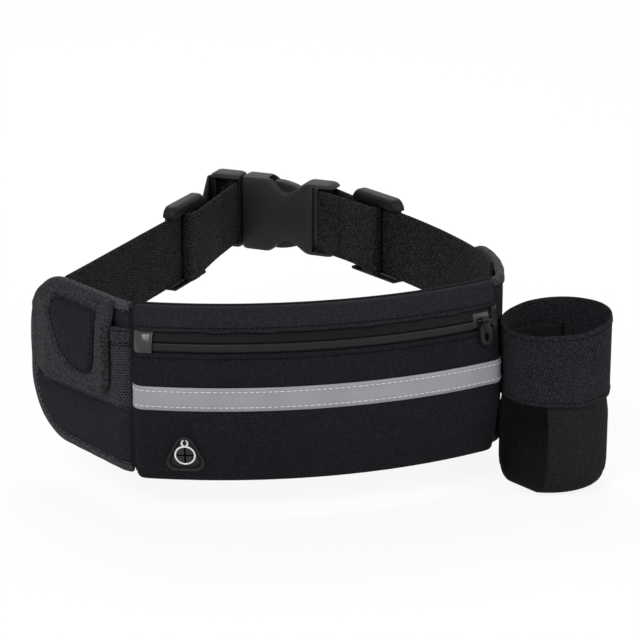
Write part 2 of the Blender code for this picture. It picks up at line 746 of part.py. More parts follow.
def make_pocket(route, mesh_fabric, hem_fabric, loops):
    stations = spread(POCKET_START, POCKET_START + POCKET_EASE, 4)
    stations += spread(POCKET_START + POCKET_EASE, POCKET_END - POCKET_EASE, 4)[1:]
    stations += spread(POCKET_END - POCKET_EASE, POCKET_END, 4)[1:]
    panel, hem = [], []
    hem_low = POCKET_HIGH + GAP
    hem_high = hem_low + HEM_WIDTH
    for along in stations:
        inner = pocket_stand(along)
        outer = inner + POCKET_WALL
        section = [(POCKET_FLOOR, POCKET_LOW), (outer, POCKET_LOW + POCKET_LIP), (outer, POCKET_HIGH),
                   (inner, POCKET_HIGH), (inner, POCKET_LOW + POCKET_LIP + POCKET_WALL),
                   (POCKET_FLOOR, POCKET_LOW + POCKET_WALL)]
        panel.append([route.at(along, out, height) for out, height in section])
        section = [(inner, hem_low), (outer + HEM_EXTRA, hem_low), (outer + HEM_EXTRA, hem_high),
                   (inner, hem_high)]
        hem.append([route.at(along, out, height) for out, height in section])
    piece("key_pocket_panel", loft(panel), mesh_fabric)
    piece("key_pocket_hem", loft(hem), hem_fabric)
    piece("pocket_loop_patch", patch_block(route, LOOP_PATCH_IN), loops)


def patch_block(route, inner):
    ends = (PATCH_START, PATCH_START + PATCH_LENGTH)
    return block(ends, (inner, inner + PATCH_THICK), (PATCH_LOW, PATCH_LOW + PATCH_HEIGHT), route.at)


def flap_edges(along):
    """Lowest and highest height of the flap: round lower corners, and a top that follows the wing's tip."""
    near = min(along - FLAP_START, FLAP_END - along)
    share = max(0.0, 1 - near / FLAP_CORNER)
    low = FLAP_LOW + FLAP_CORNER * (1 - math.sqrt(max(0.0, 1 - share ** 2)))
    tip = wing_edges(along)[1] - GAP
    return low, min(FLAP_HINGE_HEIGHT + FLAP_TOP, tip)


def flap_inner(height):
    """The flap's inner face leaves its hinge line close to the wing and clears the pocket below."""
    share = (FLAP_HINGE_HEIGHT + FLAP_TOP - height) / (FLAP_HINGE_HEIGHT + FLAP_TOP - FLAP_SHOULDER)
    return FLAP_HINGE_IN + (FLAP_IN - FLAP_HINGE_IN) * smooth(0.5 * share) * 2 if share < 1 else FLAP_IN


def make_flap(route, fabric, hooks):
    corner = [FLAP_CORNER * (1 - math.cos(math.radians(a))) for a in spread(0, 90, 5)]
    stations = [FLAP_START + step for step in corner]
    stations += spread(FLAP_START + FLAP_CORNER, FLAP_END - FLAP_CORNER, 5)[1:-1]
    stations += [FLAP_END - step for step in reversed(corner)]
    rows = []
    for along in stations:
        low, high = flap_edges(along)
        heights = [low, low + (high - low) * 0.5] + spread(min(FLAP_SHOULDER, high - FLAP_FOLD), high, 5)
        face = [(flap_inner(height), height) for height in heights]
        back = [(out + FLAP_THICK, height) for out, height in reversed(face)]
        rows.append([route.at(along, out, height) for out, height in face + back])
    hinge = route.at((FLAP_START + FLAP_END) / 2, FLAP_HINGE_OUT, FLAP_HINGE_HEIGHT)
    axis = pivot("flap_open_axis", hinge)
    piece("key_pocket_flap", loft(rows), fabric, hinge, axis)
    piece("flap_hook_patch", patch_block(route, HOOK_PATCH_IN), hooks, hinge, axis)


def make_seam_strip(route, binding):
    low = FLAP_HINGE_HEIGHT + FLAP_TOP + GAP
    inner = BINDING_HALF + GAP
    ends = (FLAP_START, WING_LENGTH - TIP_LENGTH)
    strip = block(ends, (inner, inner + SEAM_STRIP_THICK), (low, low + SEAM_STRIP_HEIGHT), route.at)
    piece("flap_seam_strip", strip, binding)


# The bottle holder

def holder_centre(route):
    return route.at(HOLDER_ALONG, WING_HALF + GAP + BAND_OUTER_RADIUS)


def make_bottle_band(route, elastic):
    """An elastic ring sewn to the wing, a little higher on its outer side."""
    centre = holder_centre(route)
    rows = []
    for turn in spread(0, 360 * 31 / 32, 32):
        lift = BAND_LIFT * (1 + math.cos(math.radians(turn - BAND_HIGH_SIDE))) / 2
        low, high = BAND_LOW, BAND_LOW + BAND_WIDTH + lift
        corners = ((BAND_INNER_RADIUS, low), (BAND_OUTER_RADIUS, low), (BAND_OUTER_RADIUS, high),
                   (BAND_INNER_RADIUS, high))
        rows.append([centre + plan(turn) * radius + UP * height for radius, height in corners])
    piece("bottle_band", loft(rows, closed=True), elastic)


def make_base_strap(route, elastic):
    """A strap that hangs inside the band in a U and carries the bottle's base on its flat middle."""
    centre = holder_centre(route)
    forward = plan(BASE_STRAP_TURN)
    aside = plan(BASE_STRAP_TURN + 90)
    outer_radius = BAND_INNER_RADIUS - GAP

    def line(inset, share):
        """The U of one lengthwise thread, as reach and height, at a share of the strap's width."""
        turn = share * BASE_STRAP_WIDTH / 2 / outer_radius
        reach = outer_radius * math.cos(turn) - inset
        corner, floor = BASE_STRAP_CORNER - inset, -HOLDER_DROP + inset
        turns = [plan(a) * corner for a in spread(0, -90, 5)]
        bend = [(reach - corner + way.x, floor + corner + way.y) for way in turns]
        half = [(reach, BASE_STRAP_TOP), (reach, BASE_STRAP_TOP / 2)] + bend
        return half + [(0, floor)] + [(-x, z) for x, z in reversed(half)], outer_radius * math.sin(turn)

    rows = []
    threads = [(0, share) for share in spread(-1, 1, 7)]
    threads += [(BASE_STRAP_THICK, share) for share in spread(1, -1, 7)]
    for inset, share in threads:
        points, offset = line(inset, share)
        rows.append([centre + forward * x + aside * offset + UP * z for x, z in points])
    strap = bmesh.new()
    grid = [[strap.verts.new(point) for point in row] for row in rows]
    for near, far in zip(grid, grid[1:] + grid[:1]):
        for i in range(len(near) - 1):
            strap.faces.new((near[i], near[i + 1], far[i + 1], far[i]))
    count = len(grid)
    for end in (0, -1):
        for i in range(count // 2 - 1):
            a, b = grid[i][end], grid[i + 1][end]
            c, d = grid[count - 2 - i][end], grid[count - 1 - i][end]
            strap.faces.new((a, b, c, d))
    bmesh.ops.recalc_face_normals(strap, faces=strap.faces)
    piece("bottle_base_strap", strap, elastic)


# The buckle

def buckle_place(along, out, up):
    """A point of the buckle: along it from the plug's end, out from the wearer and up from its middle."""
    start = Vector((BUCKLE_START_X, BUCKLE_START_Y, BUCKLE_MIDDLE))
    return start + plan(BUCKLE_HEADING) * along + plan(BUCKLE_HEADING + 90) * out + UP * up


def cut_bar_room(target, start, end):
    """Takes the block away on both faces of a bar, so that webbing can pass round it."""
    for side in (-1, 1):
        across = sorted((side * BAR_THICK / 2, side * BUCKLE_THICK))
        shape_with(target, block((start, end), across, (-SLOT_HALF, SLOT_HALF), buckle_place), "DIFFERENCE")


def cut_slot(target, start, end):
    through = (-BUCKLE_THICK, BUCKLE_THICK)
    shape_with(target, block((start, end), through, (-SLOT_HALF, SLOT_HALF), buckle_place), "DIFFERENCE")


def socket_edge(along):
    """Half the socket's height: full at its mouth, waisted at the prong windows, lower at the bar."""
    full, waist, tail = BUCKLE_HEIGHT / 2, SOCKET_WAIST_HEIGHT / 2, SOCKET_TAIL_HEIGHT / 2
    if along <= SOCKET_WAIST:
        share = (along - SOCKET_WAIST_START) / (SOCKET_WAIST - SOCKET_WAIST_START)
        return full + (waist - full) * smooth(share)
    return waist + (tail - waist) * smooth((along - SOCKET_WAIST) / (SOCKET_WAIST_END - SOCKET_WAIST))


def make_socket(plastic):
    stations = [SOCKET_START] + spread(SOCKET_WAIST_START, SOCKET_WAIST, 10)
    stations += spread(SOCKET_WAIST, SOCKET_WAIST_END, 10)[1:]
    upper = [(along, socket_edge(along)) for along in stations]
    tail = SOCKET_TAIL_HEIGHT / 2
    for turn in spread(90, 0, 5):
        way = plan(turn) * SOCKET_TAIL_CORNER
        upper.append((SOCKET_END - SOCKET_TAIL_CORNER + way.x, tail - SOCKET_TAIL_CORNER + way.y))
    outline = upper + [(along, -up) for along, up in reversed(upper)]
    half = BUCKLE_THICK / 2
    socket = piece("buckle_socket", prism(outline, -half, half, buckle_place), plastic)
    round_edges(socket, BUCKLE_EDGE)
    up, across = CAVITY_HEIGHT / 2, CAVITY_THICK / 2
    cavity = block((SOCKET_START - GAP, CAVITY_END), (-across, across), (-up, up), buckle_place)
    shape_with(socket, cavity, "DIFFERENCE")
    ends = (PRONG_SHOULDER - WINDOW_GAP, PRONG_BUTTON_END + WINDOW_GAP)
    wide = across + CAVITY_SIDE_GAP / 2
    windows = block(ends, (-wide, wide), (-BUCKLE_HEIGHT, BUCKLE_HEIGHT), buckle_place)
    shape_with(socket, windows, "DIFFERENCE")
    cut_slot(socket, SOCKET_SLOT_START, SOCKET_SLOT_END)
    cut_bar_room(socket, SOCKET_SLOT_END - GAP, SOCKET_END + GAP)
    cut_slot(socket, SOCKET_BAR_END, SOCKET_END + GAP)


def make_plug(plastic):
    """The plug: a frame with two bars for the webbing, a web inside the socket's mouth and a tongue."""
    up, half = BUCKLE_HEIGHT / 2, PLUG_THICK / 2
    outline = [(PLUG_LENGTH, -up), (PLUG_LENGTH, up)]
    for side, turns in ((1, spread(90, 180, 5)), (-1, spread(180, 270, 5))):
        for turn in turns:
            way = plan(turn) * PLUG_CORNER
            outline.append((PLUG_CORNER + way.x, side * (up - PLUG_CORNER) + way.y))
    axis = pivot("plug_release_axis", buckle_place(PLUG_LENGTH, 0, 0))
    plug = piece("buckle_plug", prism(outline, -half, half, buckle_place), plastic,
                 buckle_place(PLUG_LENGTH, 0, 0), axis)
    round_edges(plug, BUCKLE_EDGE)
    cut_bar_room(plug, -GAP, PLUG_SLOT_END)
    cut_slot(plug, PLUG_OUTER_BAR, PLUG_INNER_BAR_START)
    cut_slot(plug, PLUG_INNER_BAR_END, PLUG_SLOT_END)
    up, half = CAVITY_HEIGHT / 2 - CAVITY_SIDE_GAP, CAVITY_THICK / 2 - CAVITY_SIDE_GAP
    web = block((PLUG_LENGTH - GAP, PLUG_WEB_END), (-half, half), (-up, up), buckle_place)
    shape_with(plug, web, "UNION")
    up, half = TONGUE_HEIGHT / 2, TONGUE_THICK / 2
    tongue = block((PLUG_WEB_END - GAP, TONGUE_END), (-half, half), (-up, up), buckle_place)
    shape_with(plug, tongue, "UNION")


def make_prong(name, side, plastic):
    """A springy arm of the plug, with the button that shows in the socket's window."""
    half = CAVITY_THICK / 2 - CAVITY_SIDE_GAP
    root = PLUG_WEB_END + GAP
    low, high = PRONG_MIDDLE - PRONG_ROOT_HEIGHT / 2, PRONG_MIDDLE + PRONG_ROOT_HEIGHT / 2
    button = PRONG_BUTTON_END - PRONG_SHOULDER
    outline = [(root, low), (PRONG_BUTTON_END, low + PRONG_ROOT_HEIGHT)]
    for share in spread(0, 1, 6):
        drop = PRONG_BUTTON_DROP * share ** 2
        outline.append((PRONG_BUTTON_END - button * (1 - share) * 0.85, PRONG_BUTTON_HEIGHT - drop))
    outline[2:] = reversed(outline[2:])
    outline.append((PRONG_SHOULDER, PRONG_BUTTON_HEIGHT - BUCKLE_EDGE))
    outline.append((PRONG_SHOULDER, high + PRONG_ROOT_HEIGHT / 2))
    outline.append((root, high))
    hinge = buckle_place(PRONG_PIVOT, 0, side * PRONG_MIDDLE)
    axis = pivot(f"{name}_axis", hinge)
    outline = [(along, side * up) for along, up in outline]
    piece(name, prism(outline, -half, half, buckle_place), plastic, hinge, axis)


# The waist strap

def strap_inset():
    """The strap lies on the wing's inner side, clear of the binding."""
    return -(BINDING_HALF + GAP + STRAP_THICK / 2)


def left_strap_line(wing):
    """The line of the left strap from its buckle end towards the wing, and its tail on the wing."""
    corner = wing.at(STRAP_LEAVE, strap_inset())
    end = LEFT_STRAP_END
    back = corner - end
    heading = math.degrees(math.atan2(back.y, back.x))
    line = rounded([end, corner, wing.at(STRAP_TAIL_START, strap_inset())], STRAP_CORNER)
    return Route(end, heading, [(back.length, 0)], -1), line


def right_strap_line(wing):
    """The right strap leaves the wing on the wing's own heading and bends evenly to its end."""
    leave = wing.at(STRAP_LEAVE, strap_inset())
    heading = wing.place(STRAP_LEAVE)[1]
    length, turn = arc_between(leave, heading, RIGHT_STRAP_END)
    end_heading = heading + turn + 180
    route = Route(RIGHT_STRAP_END, end_heading, [(length, -turn)], 1)
    line = [route.at(along) for along in spread(0, length, 14)]
    line += [wing.at(along, strap_inset()) for along in spread(STRAP_LEAVE, STRAP_TAIL_START, 6)[1:]]
    return route, line


def glide_bars():
    """How far a tri-glide's bars stand out: the end bars outside the strap, the middle bar inside it."""
    outside = STRAP_LAYER + GLIDE_BAR_THICK / 2
    inside = -(STRAP_LAYER + STRAP_THICK + GAP + GLIDE_BAR_THICK / 2)
    return outside, inside


def make_glide(name, route, back, plastic, axis):
    """A tri-glide: straight rails with round corners above and below the strap, joined by three bars."""
    outside, inside = glide_bars()
    low, high = STRAP_LOW - GLIDE_SIDE_GAP, LOOP_HIGH + GLIDE_SIDE_GAP
    limits = (inside + GLIDE_RAIL_SETBACK, outside + GLIDE_BAR_THICK / 2)
    half, rails = GLIDE_LENGTH / 2, []
    for edge, rail, side in ((low, GLIDE_BOTTOM_RAIL, -1), (high, GLIDE_TOP_RAIL, 1)):
        rows = []
        round_off = min(GLIDE_CORNER, rail)
        turned = [half - round_off * (1 - math.sin(math.radians(a))) for a in spread(0, 75, 4)]
        for along in [-t for t in reversed(turned)] + spread(-turned[0], turned[0], 5)[1:-1] + turned:
            share = max(0.0, (abs(along) - half + round_off) / round_off)
            far = edge + side * (rail - round_off * (1 - math.sqrt(1 - share ** 2)))
            corners = ((limits[0], edge), (limits[1], edge), (limits[1], far), (limits[0], far))
            rows.append([route.at(back + along, out, height) for out, height in corners])
        rails.append(loft(rows))
    glide = piece(name, rails[0], plastic, axis.location, axis)
    shape_with(glide, rails[1], "UNION")
    reach = half - GLIDE_BAR
    tip = half - GLIDE_CORNER / 2
    overlap = GLIDE_BOTTOM_RAIL / 2
    bars = ((-tip, -reach + GLIDE_BAR_INSET, outside), (-GLIDE_BAR / 2, GLIDE_BAR / 2, inside),
            (reach - GLIDE_BAR_INSET, tip, outside))
    depth = GLIDE_BAR_THICK / 2 - GLIDE_BAR_INSET
    for start, end, out in bars:
        rows = []
        for along in (start, end):
            near, far = out - depth, out + depth
            foot, head = low - overlap, high + overlap
            corners = ((near, foot), (far, foot), (far, head), (near, head))
            rows.append([route.at(back + along, o, z) for o, z in corners])
        shape_with(glide, loft(rows), "UNION")


def glide_wrap(route, back):
    """The return's path round the tri-glide's middle bar, from its inner side to its end beside the strap."""
    middle = glide_bars()[1]
    round_bar = GLIDE_BAR_THICK / 2 + GAP + STRAP_THICK / 2
    inner, outer = middle - round_bar, middle + round_bar
    near, far = back - GLIDE_BAR / 2, back + GLIDE_BAR / 2 + round_bar
    turns = [(near - round_bar, inner), (far, inner), (far, outer), (near, outer)]
    return [route.at(along, out) for along, out in turns]


def make_loop(name, route, back, corners, elastic):
    """The strap's end from its main part round a buckle bar, and its return to the tri-glide."""
    wrap = glide_wrap(route, back)
    leave = corners[-1]
    way = (wrap[0] - leave).normalized()
    meet = leave.lerp(wrap[0], RETURN_SHARE)
    start = route.at(-GAP)
    loop = rounded([start] + corners + [meet], LOOP_CORNER)
    piece(f"{name}_buckle_loop", flat_band(loop, STRAP_THICK, LOOP_LOW, LOOP_HIGH), elastic)
    returning = rounded([meet + way * GAP] + wrap, LOOP_CORNER)
    piece(f"{name}_strap_return", flat_band(returning, STRAP_THICK, LOOP_LOW, LOOP_HIGH), elastic)


def make_strap(name, route, line, back, corners, elastic, plastic, axis_place):
    piece(f"{name}_strap", flat_band(line, STRAP_THICK, STRAP_LOW, STRAP_HIGH), elastic)
    make_glide(f"{name}_tri_glide", route, back, plastic, pivot(f"{name}_adjust_axis", axis_place))
    make_loop(name, route, back, corners, elastic)


def buckle_corners():
    """Where the webbing turns: round the plug's outer and inner bar, and round the socket's bar."""
    over = BAR_THICK / 2 + STRAP_LAYER
    plug_slot = (PLUG_INNER_BAR_END + PLUG_SLOT_END) / 2 - GAP
    left = [(-over, over), (plug_slot, over)]
    socket_slot = (SOCKET_SLOT_START + SOCKET_SLOT_END) / 2
    right = [(SOCKET_BAR_END + STRAP_LAYER, over), (socket_slot, over), (socket_slot, -over)]

    def in_plan(spots):
        return [buckle_place(along, out, -BUCKLE_MIDDLE) for along, out in spots]

    return in_plan(left), in_plan(right)


def main():
    clear_scene()
    neoprene = finish("black_neoprene", (0.014, 0.014, 0.017), 0.85)
    mesh_fabric = finish("black_air_mesh", (0.032, 0.031, 0.037), 0.90)
    lining = finish("black_lining", (0.017, 0.017, 0.019), 0.90)
    elastic = finish("black_elastic", (0.013, 0.013, 0.015), 0.88)
    reflector = finish("silver_reflector", (0.31, 0.31, 0.34), 0.42)
    tape = finish("coated_zip_tape", (0.014, 0.014, 0.015), 0.45)
    nylon = finish("zip_coil_nylon", (0.012, 0.012, 0.013), 0.50)
    film = finish("zip_end_film", (0.015, 0.015, 0.016), 0.30)
    zip_metal = finish("black_zip_enamel", (0.016, 0.016, 0.017), 0.35, 0.6)
    rubber = finish("black_rubber", (0.020, 0.020, 0.021), 0.55)
    white = finish("white_port_mark", (0.75, 0.75, 0.75), 0.50)
    hook_tape = finish("hook_and_loop", (0.012, 0.012, 0.013), 0.95)
    plastic = finish("black_acetal", (0.021, 0.020, 0.023), 0.42)

    make_pouch(neoprene, mesh_fabric, lining)
    make_stripe(reflector)
    make_zip(tape, nylon, film)
    make_slider(zip_metal)
    make_pull(zip_metal)
    make_port(rubber, white)

    left_wing, right_wing = wing_route(-1), wing_route(1)
    make_wing("left", left_wing, neoprene, mesh_fabric)
    make_wing("right", right_wing, neoprene, mesh_fabric)
    make_pocket(left_wing, mesh_fabric, mesh_fabric, hook_tape)
    make_flap(left_wing, neoprene, hook_tape)
    make_seam_strip(left_wing, mesh_fabric)
    make_bottle_band(right_wing, elastic)
    make_base_strap(right_wing, elastic)

    make_socket(plastic)
    make_plug(plastic)
    make_prong("plug_prong_upper", 1, plastic)
    make_prong("plug_prong_lower", -1, plastic)

    left_corners, right_corners = buckle_corners()
    route, line = left_strap_line(left_wing)
    axis = route.at(LEFT_GLIDE_BACK, 0, STRAP_MIDDLE)
    make_strap("left", route, line, LEFT_GLIDE_BACK, left_corners, elastic, plastic, axis)
    route, line = right_strap_line(right_wing)
    point, heading, length, turn = route.marks[0][1:]
    bend_centre = point + plan(heading + 90) * (length / math.radians(turn))
    make_strap("right", route, line, RIGHT_GLIDE_BACK, right_corners, elastic, plastic, bend_centre)


main()
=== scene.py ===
# %% [markdown]
# # A waist pack for running
# The pack is a slim zipped pouch between two wings, on an elastic belt with a side-release buckle.
# The frame brings every solid and joint of it. This lesson dresses that frame: fabric with its
# seams takes the place of each soft solid, and each moulded piece gets round edges and a moulded
# skin. All lengths are in metres.

# %% Load the frame
import math

import bmesh
import bpy
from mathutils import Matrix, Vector, geometry, noise


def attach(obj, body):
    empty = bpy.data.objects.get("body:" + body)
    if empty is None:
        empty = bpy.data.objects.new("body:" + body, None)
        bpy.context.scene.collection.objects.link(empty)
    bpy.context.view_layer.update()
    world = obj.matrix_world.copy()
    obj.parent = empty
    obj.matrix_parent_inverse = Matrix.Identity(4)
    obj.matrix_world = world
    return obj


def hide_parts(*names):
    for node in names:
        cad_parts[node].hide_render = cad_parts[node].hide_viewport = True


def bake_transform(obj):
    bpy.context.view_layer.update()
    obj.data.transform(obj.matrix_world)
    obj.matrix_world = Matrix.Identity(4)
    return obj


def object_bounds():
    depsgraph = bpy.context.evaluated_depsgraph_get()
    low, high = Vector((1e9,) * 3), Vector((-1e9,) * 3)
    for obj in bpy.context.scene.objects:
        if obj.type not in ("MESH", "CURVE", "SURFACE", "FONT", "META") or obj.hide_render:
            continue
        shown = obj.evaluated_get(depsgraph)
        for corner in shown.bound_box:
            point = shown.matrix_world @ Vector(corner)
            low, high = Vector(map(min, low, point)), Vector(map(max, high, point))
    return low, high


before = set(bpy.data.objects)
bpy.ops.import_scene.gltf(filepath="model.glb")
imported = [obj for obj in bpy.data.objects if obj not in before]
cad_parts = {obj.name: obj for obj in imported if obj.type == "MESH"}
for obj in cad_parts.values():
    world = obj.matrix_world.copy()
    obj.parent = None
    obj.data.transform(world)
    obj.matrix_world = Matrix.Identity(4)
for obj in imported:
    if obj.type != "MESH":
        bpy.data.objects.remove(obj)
cad_box = [list(corner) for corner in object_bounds()]
scene = bpy.context.scene

# %% [markdown]
# ## Shape of the pouch
# A waist pack bends round the body, so the pouch's back lies on an arc. Its skin stands out most at
# the belly and draws in towards the top, the bottom and both ends. It could be sculpted, but a few
# formulas with the solids' own sizes keep every piece of fabric where its solid is.

# %% Sizes and curves of the pouch
GAP = 0.0003
UP = Vector((0, 0, 1))
ARC_CENTRE, BACK_RADIUS, POUCH_HALF_ANGLE = Vector((0, 0.122, 0)), 0.234, 23.4
POUCH_HEIGHT, BELLY_HEIGHT = 0.0925, 0.040
BOTTOM_DEPTH, BELLY_DEPTH, TOP_DEPTH = 0.0078, 0.0150, 0.0048
END_DEPTH_SHARE, TAPER_LENGTH = 0.5, 0.007


def spread(start, end, count):
    """Evenly spaced values from start to end."""
    return [start + (end - start) * i / (count - 1) for i in range(count)]


def eased(count):
    """Values from 0 to 1 that lie closer together towards 1, as round ends need them."""
    return [math.sin(math.radians(a)) for a in spread(0, 90, count)]


def circle(count):
    """Evenly spaced angles round a full turn."""
    return [360 * i / count for i in range(count)]


def smooth(share):
    share = min(max(share, 0), 1)
    return share * share * (3 - 2 * share)


def round_off(share):
    """How far a quarter circle has fallen away: 0 at its start, 1 at its end."""
    return 1 - math.sqrt(max(0.0, 1 - share * share))


def plan(heading):
    """The level direction at a heading in degrees."""
    turn = math.radians(heading)
    return Vector((math.cos(turn), math.sin(turn), 0))


def corner_arc(x, y, radius, start, end, count):
    """Points on an arc in a section."""
    return [(x + radius * plan(a).x, y + radius * plan(a).y) for a in spread(start, end, count)]


def arc_degrees(length):
    """The angle that a length takes up along the pouch's back."""
    return math.degrees(length / BACK_RADIUS)


TAPER_START = POUCH_HALF_ANGLE - arc_degrees(TAPER_LENGTH)


def pouch_depth(height):
    """How far the pouch's skin stands in front of its back panel."""
    below = height < BELLY_HEIGHT
    edge_depth, reach = (BOTTOM_DEPTH, BELLY_HEIGHT) if below else (TOP_DEPTH, POUCH_HEIGHT - BELLY_HEIGHT)
    return BELLY_DEPTH - (BELLY_DEPTH - edge_depth) * ((height - BELLY_HEIGHT) / reach) ** 2


def pouch_point(angle, depth, height):
    """A point on the pouch's arc, rounded in towards the back panel at both ends."""
    if depth > 0:
        share = max(0, min((abs(angle) - TAPER_START) / (POUCH_HALF_ANGLE - TAPER_START), 1))
        depth *= 1 - (1 - END_DEPTH_SHARE) * round_off(share)
    turn = math.radians(angle)
    return ARC_CENTRE + Vector((math.sin(turn), -math.cos(turn), 0)) * (BACK_RADIUS + depth) + UP * height


def pouch_stations(count=96, ends=9):
    """Angles along the pouch, closer together where its ends turn in."""
    turned = [TAPER_START + (POUCH_HALF_ANGLE - TAPER_START) * share for share in eased(ends)][1:]
    return [-a for a in reversed(turned)] + spread(-TAPER_START, TAPER_START, count) + turned


def corner_rise(angle, radius):
    """How far a round corner moves the pouch's edge near its ends."""
    near = math.radians(POUCH_HALF_ANGLE - abs(angle)) * BACK_RADIUS
    return radius * round_off(max(0, radius - near) / radius)


print("pouch is", round(math.radians(2 * POUCH_HALF_ANGLE) * BACK_RADIUS, 4), "m round its back")

# %% [markdown]
# ## Lofted fabric
# Cloth is cut flat and then bent, so each fabric piece here is a loft: rows of points joined by
# quads. Its UV map is in metres, so a weave keeps its real pitch on every piece and follows the
# cloth round each bend. A box projection would be quicker to set up, but it smears wherever the
# cloth turns.

# %% Meshes from rows of points
def mesh_of(name, points, faces, places, closed=True):
    """A smooth mesh with its UV places. The faces of a closed one are turned outwards."""
    mesh = bpy.data.meshes.new(name)
    mesh.from_pydata([tuple(p) for p in points], [], faces)
    layer = mesh.uv_layers.new(name="cloth")
    for loop, place in zip(layer.data, places):
        loop.uv = place
    if closed:
        work = bmesh.new()
        work.from_mesh(mesh)
        bmesh.ops.recalc_face_normals(work, faces=work.faces)
        work.to_mesh(mesh)
        work.free()
    mesh.shade_smooth()
    return mesh


def loft(name, rows, closed=True, endless=False, steep=False):
    """Joins rows of points, which are closed sections or make an open sheet. endless joins the last row to
    the first. steep measures the weave along each line of points by itself, where only some of them climb."""
    count, total = len(rows[0]), len(rows)
    along, across = [[0.0] * (count + 1)], []
    for i in range(total):
        near, far = rows[i], rows[(i + 1) % total]
        lengths = [(b - a).length for a, b in zip(near, far)]
        if not steep:
            lengths = [sum(lengths) / count] * count
        along.append([before + step for before, step in zip(along[-1], lengths + lengths[:1])])
        steps = [0.0]
        for j in range(count):
            steps.append(steps[-1] + (near[(j + 1) % count] - near[j]).length)
        across.append(steps)
    faces, places = [], []
    for i in range(total if endless else total - 1):
        k = (i + 1) % total
        for j in range(count if closed else count - 1):
            m = (j + 1) % count
            faces.append((i * count + j, k * count + j, k * count + m, i * count + m))
            places += [(along[i][j], across[i][j]), (along[i + 1][j], across[k][j]),
                       (along[i + 1][j + 1], across[k][j + 1]), (along[i][j + 1], across[i][j + 1])]
    for i in (0, total - 1) if closed and not endless else ():
        faces.append(tuple(range(i * count, (i + 1) * count)))
        middle = sum(rows[i], Vector()) / count
        way = max((p - middle for p in rows[i]), key=lambda arm: arm.length).normalized()
        side_way = geometry.normal(rows[i]).cross(way)
        places += [((p - middle).dot(side_way), (p - middle).dot(way)) for p in rows[i]]
    return mesh_of(name, [p for row in rows for p in row], faces, places, closed)


def show(name, mesh, surface, slot, *nodes, body="pack"):
    """Puts a mesh in the scene on a body, in place of the solids it stands for."""
    made = bpy.data.objects.new(name, mesh)
    scene.collection.objects.link(made)
    mesh.materials.append(surface)
    if body:
        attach(made, body)
    if nodes:
        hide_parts(*nodes)
    return made


def sew(name, rows, surface, slot, *nodes, body="pack", **kind):
    """A lofted piece, shown in its place."""
    return show(name, loft(name, rows, **kind), surface, slot, *nodes, body=body)


def soften(made):
    """Rounds a piece with one level of subdivision."""
    step = made.modifiers.new("Soften", "SUBSURF")
    step.levels = step.render_levels = 1
    return made


print("fabric helpers:", ", ".join(helper.__name__ for helper in (mesh_of, loft, show, sew, soften)))

# %% [markdown]
# ## Node helpers
# Each finish is a small graph of shader nodes. It could be wired by hand in the editor. Here a
# node's output is wrapped so that it adds and multiplies like a number, and each sum puts in its
# own Math node. So a weave is written as briefly as its formula.

# %% Wires and sums
class Wire:
    """A node's output that can be used in sums: each sum adds a Math node."""

    def __init__(self, socket):
        self.socket = socket

    def node(self, kind):
        """A new node in the same graph."""
        return self.socket.id_data.nodes.new(kind)

    def math(self, operation, *others):
        made = self.node("ShaderNodeMath")
        made.operation = operation
        return feed(made, dict(enumerate((self, *others))))

    def __add__(self, other):
        return self.math("ADD", other)

    def __sub__(self, other):
        return self.math("SUBTRACT", other)

    def __mul__(self, other):
        return self.math("MULTIPLY", other)

    def __truediv__(self, other):
        return self.math("DIVIDE", other)


def feed(node, values, result=0):
    """Fills a node's inputs with wires or plain values, and gives the wire from one of its outputs."""
    for title, value in values.items():
        if isinstance(value, Wire):
            node.id_data.links.new(value.socket, node.inputs[title])
        else:
            node.inputs[title].default_value = value
    return Wire(node.outputs[result]) if node.outputs else None


def halves(place):
    """The two measures along and across the cloth."""
    split = place.node("ShaderNodeSeparateXYZ")
    feed(split, {0: place})
    return Wire(split.outputs[0]), Wire(split.outputs[1])


def wave(value, pitch, shift=0.0):
    """A sine of the given pitch, from 0 to 1."""
    return (value / pitch * (2 * math.pi) + shift).math("SINE") * 0.5 + 0.5


def grain(place, scale, detail=2.0, rough=0.5):
    """Noise from 0 to 1."""
    values = {"Vector": place, "Scale": scale, "Detail": detail, "Roughness": rough}
    return feed(place.node("ShaderNodeTexNoise"), values)


def ramp(value, low=0.0, high=1.0, start=0.0, end=1.0, kind="LINEAR"):
    """Carries the values between start and end over to low and high."""
    node = value.node("ShaderNodeMapRange")
    node.interpolation_type = kind
    return feed(node, {"Value": value, "From Min": start, "From Max": end, "To Min": low, "To Max": high})


def effect(name, recipe, outputs=("Height", "Shade"), place="Cloth", **sizes):
    """A node group made by a recipe, which turns the place and the sizes into the values put out."""
    tree = bpy.data.node_groups.new(name, "ShaderNodeTree")
    tree.interface.new_socket(place, in_out="INPUT", socket_type="NodeSocketVector")
    for title, value in sizes.items():
        tree.interface.new_socket(title, in_out="INPUT", socket_type="NodeSocketFloat").default_value = value
    for title in outputs:
        tree.interface.new_socket(title, in_out="OUTPUT", socket_type="NodeSocketFloat")
    given = tree.nodes.new("NodeGroupInput").outputs
    values = recipe(*(Wire(given[title]) for title in (place, *sizes)))
    feed(tree.nodes.new("NodeGroupOutput"), dict(zip(outputs, values)))
    return tree


print("node helpers:", ", ".join(helper.__name__ for helper in (feed, halves, wave, grain, ramp, effect)))

# %% [markdown]
# ## Shader effects
# Several finishes share the same few effects: the fine knit of neoprene, the holes of air mesh, the
# ribs of thread, the slanting floats of elastic, the soft tonal drift of any cloth and the grain of
# a moulded skin. Each could be painted as a picture, but as a node group it stays sharp at any
# distance and keeps its size as an input. A group only puts out values, and each material keeps its
# own shader.

# %% Weaves, drift and moulded skin
ROW_SPACING, ROWS_BELOW = 0.866, 1000
HOLE_START, HOLE_END = 0.20, 0.42
LINT_START, LINT_END = 0.42, 0.70


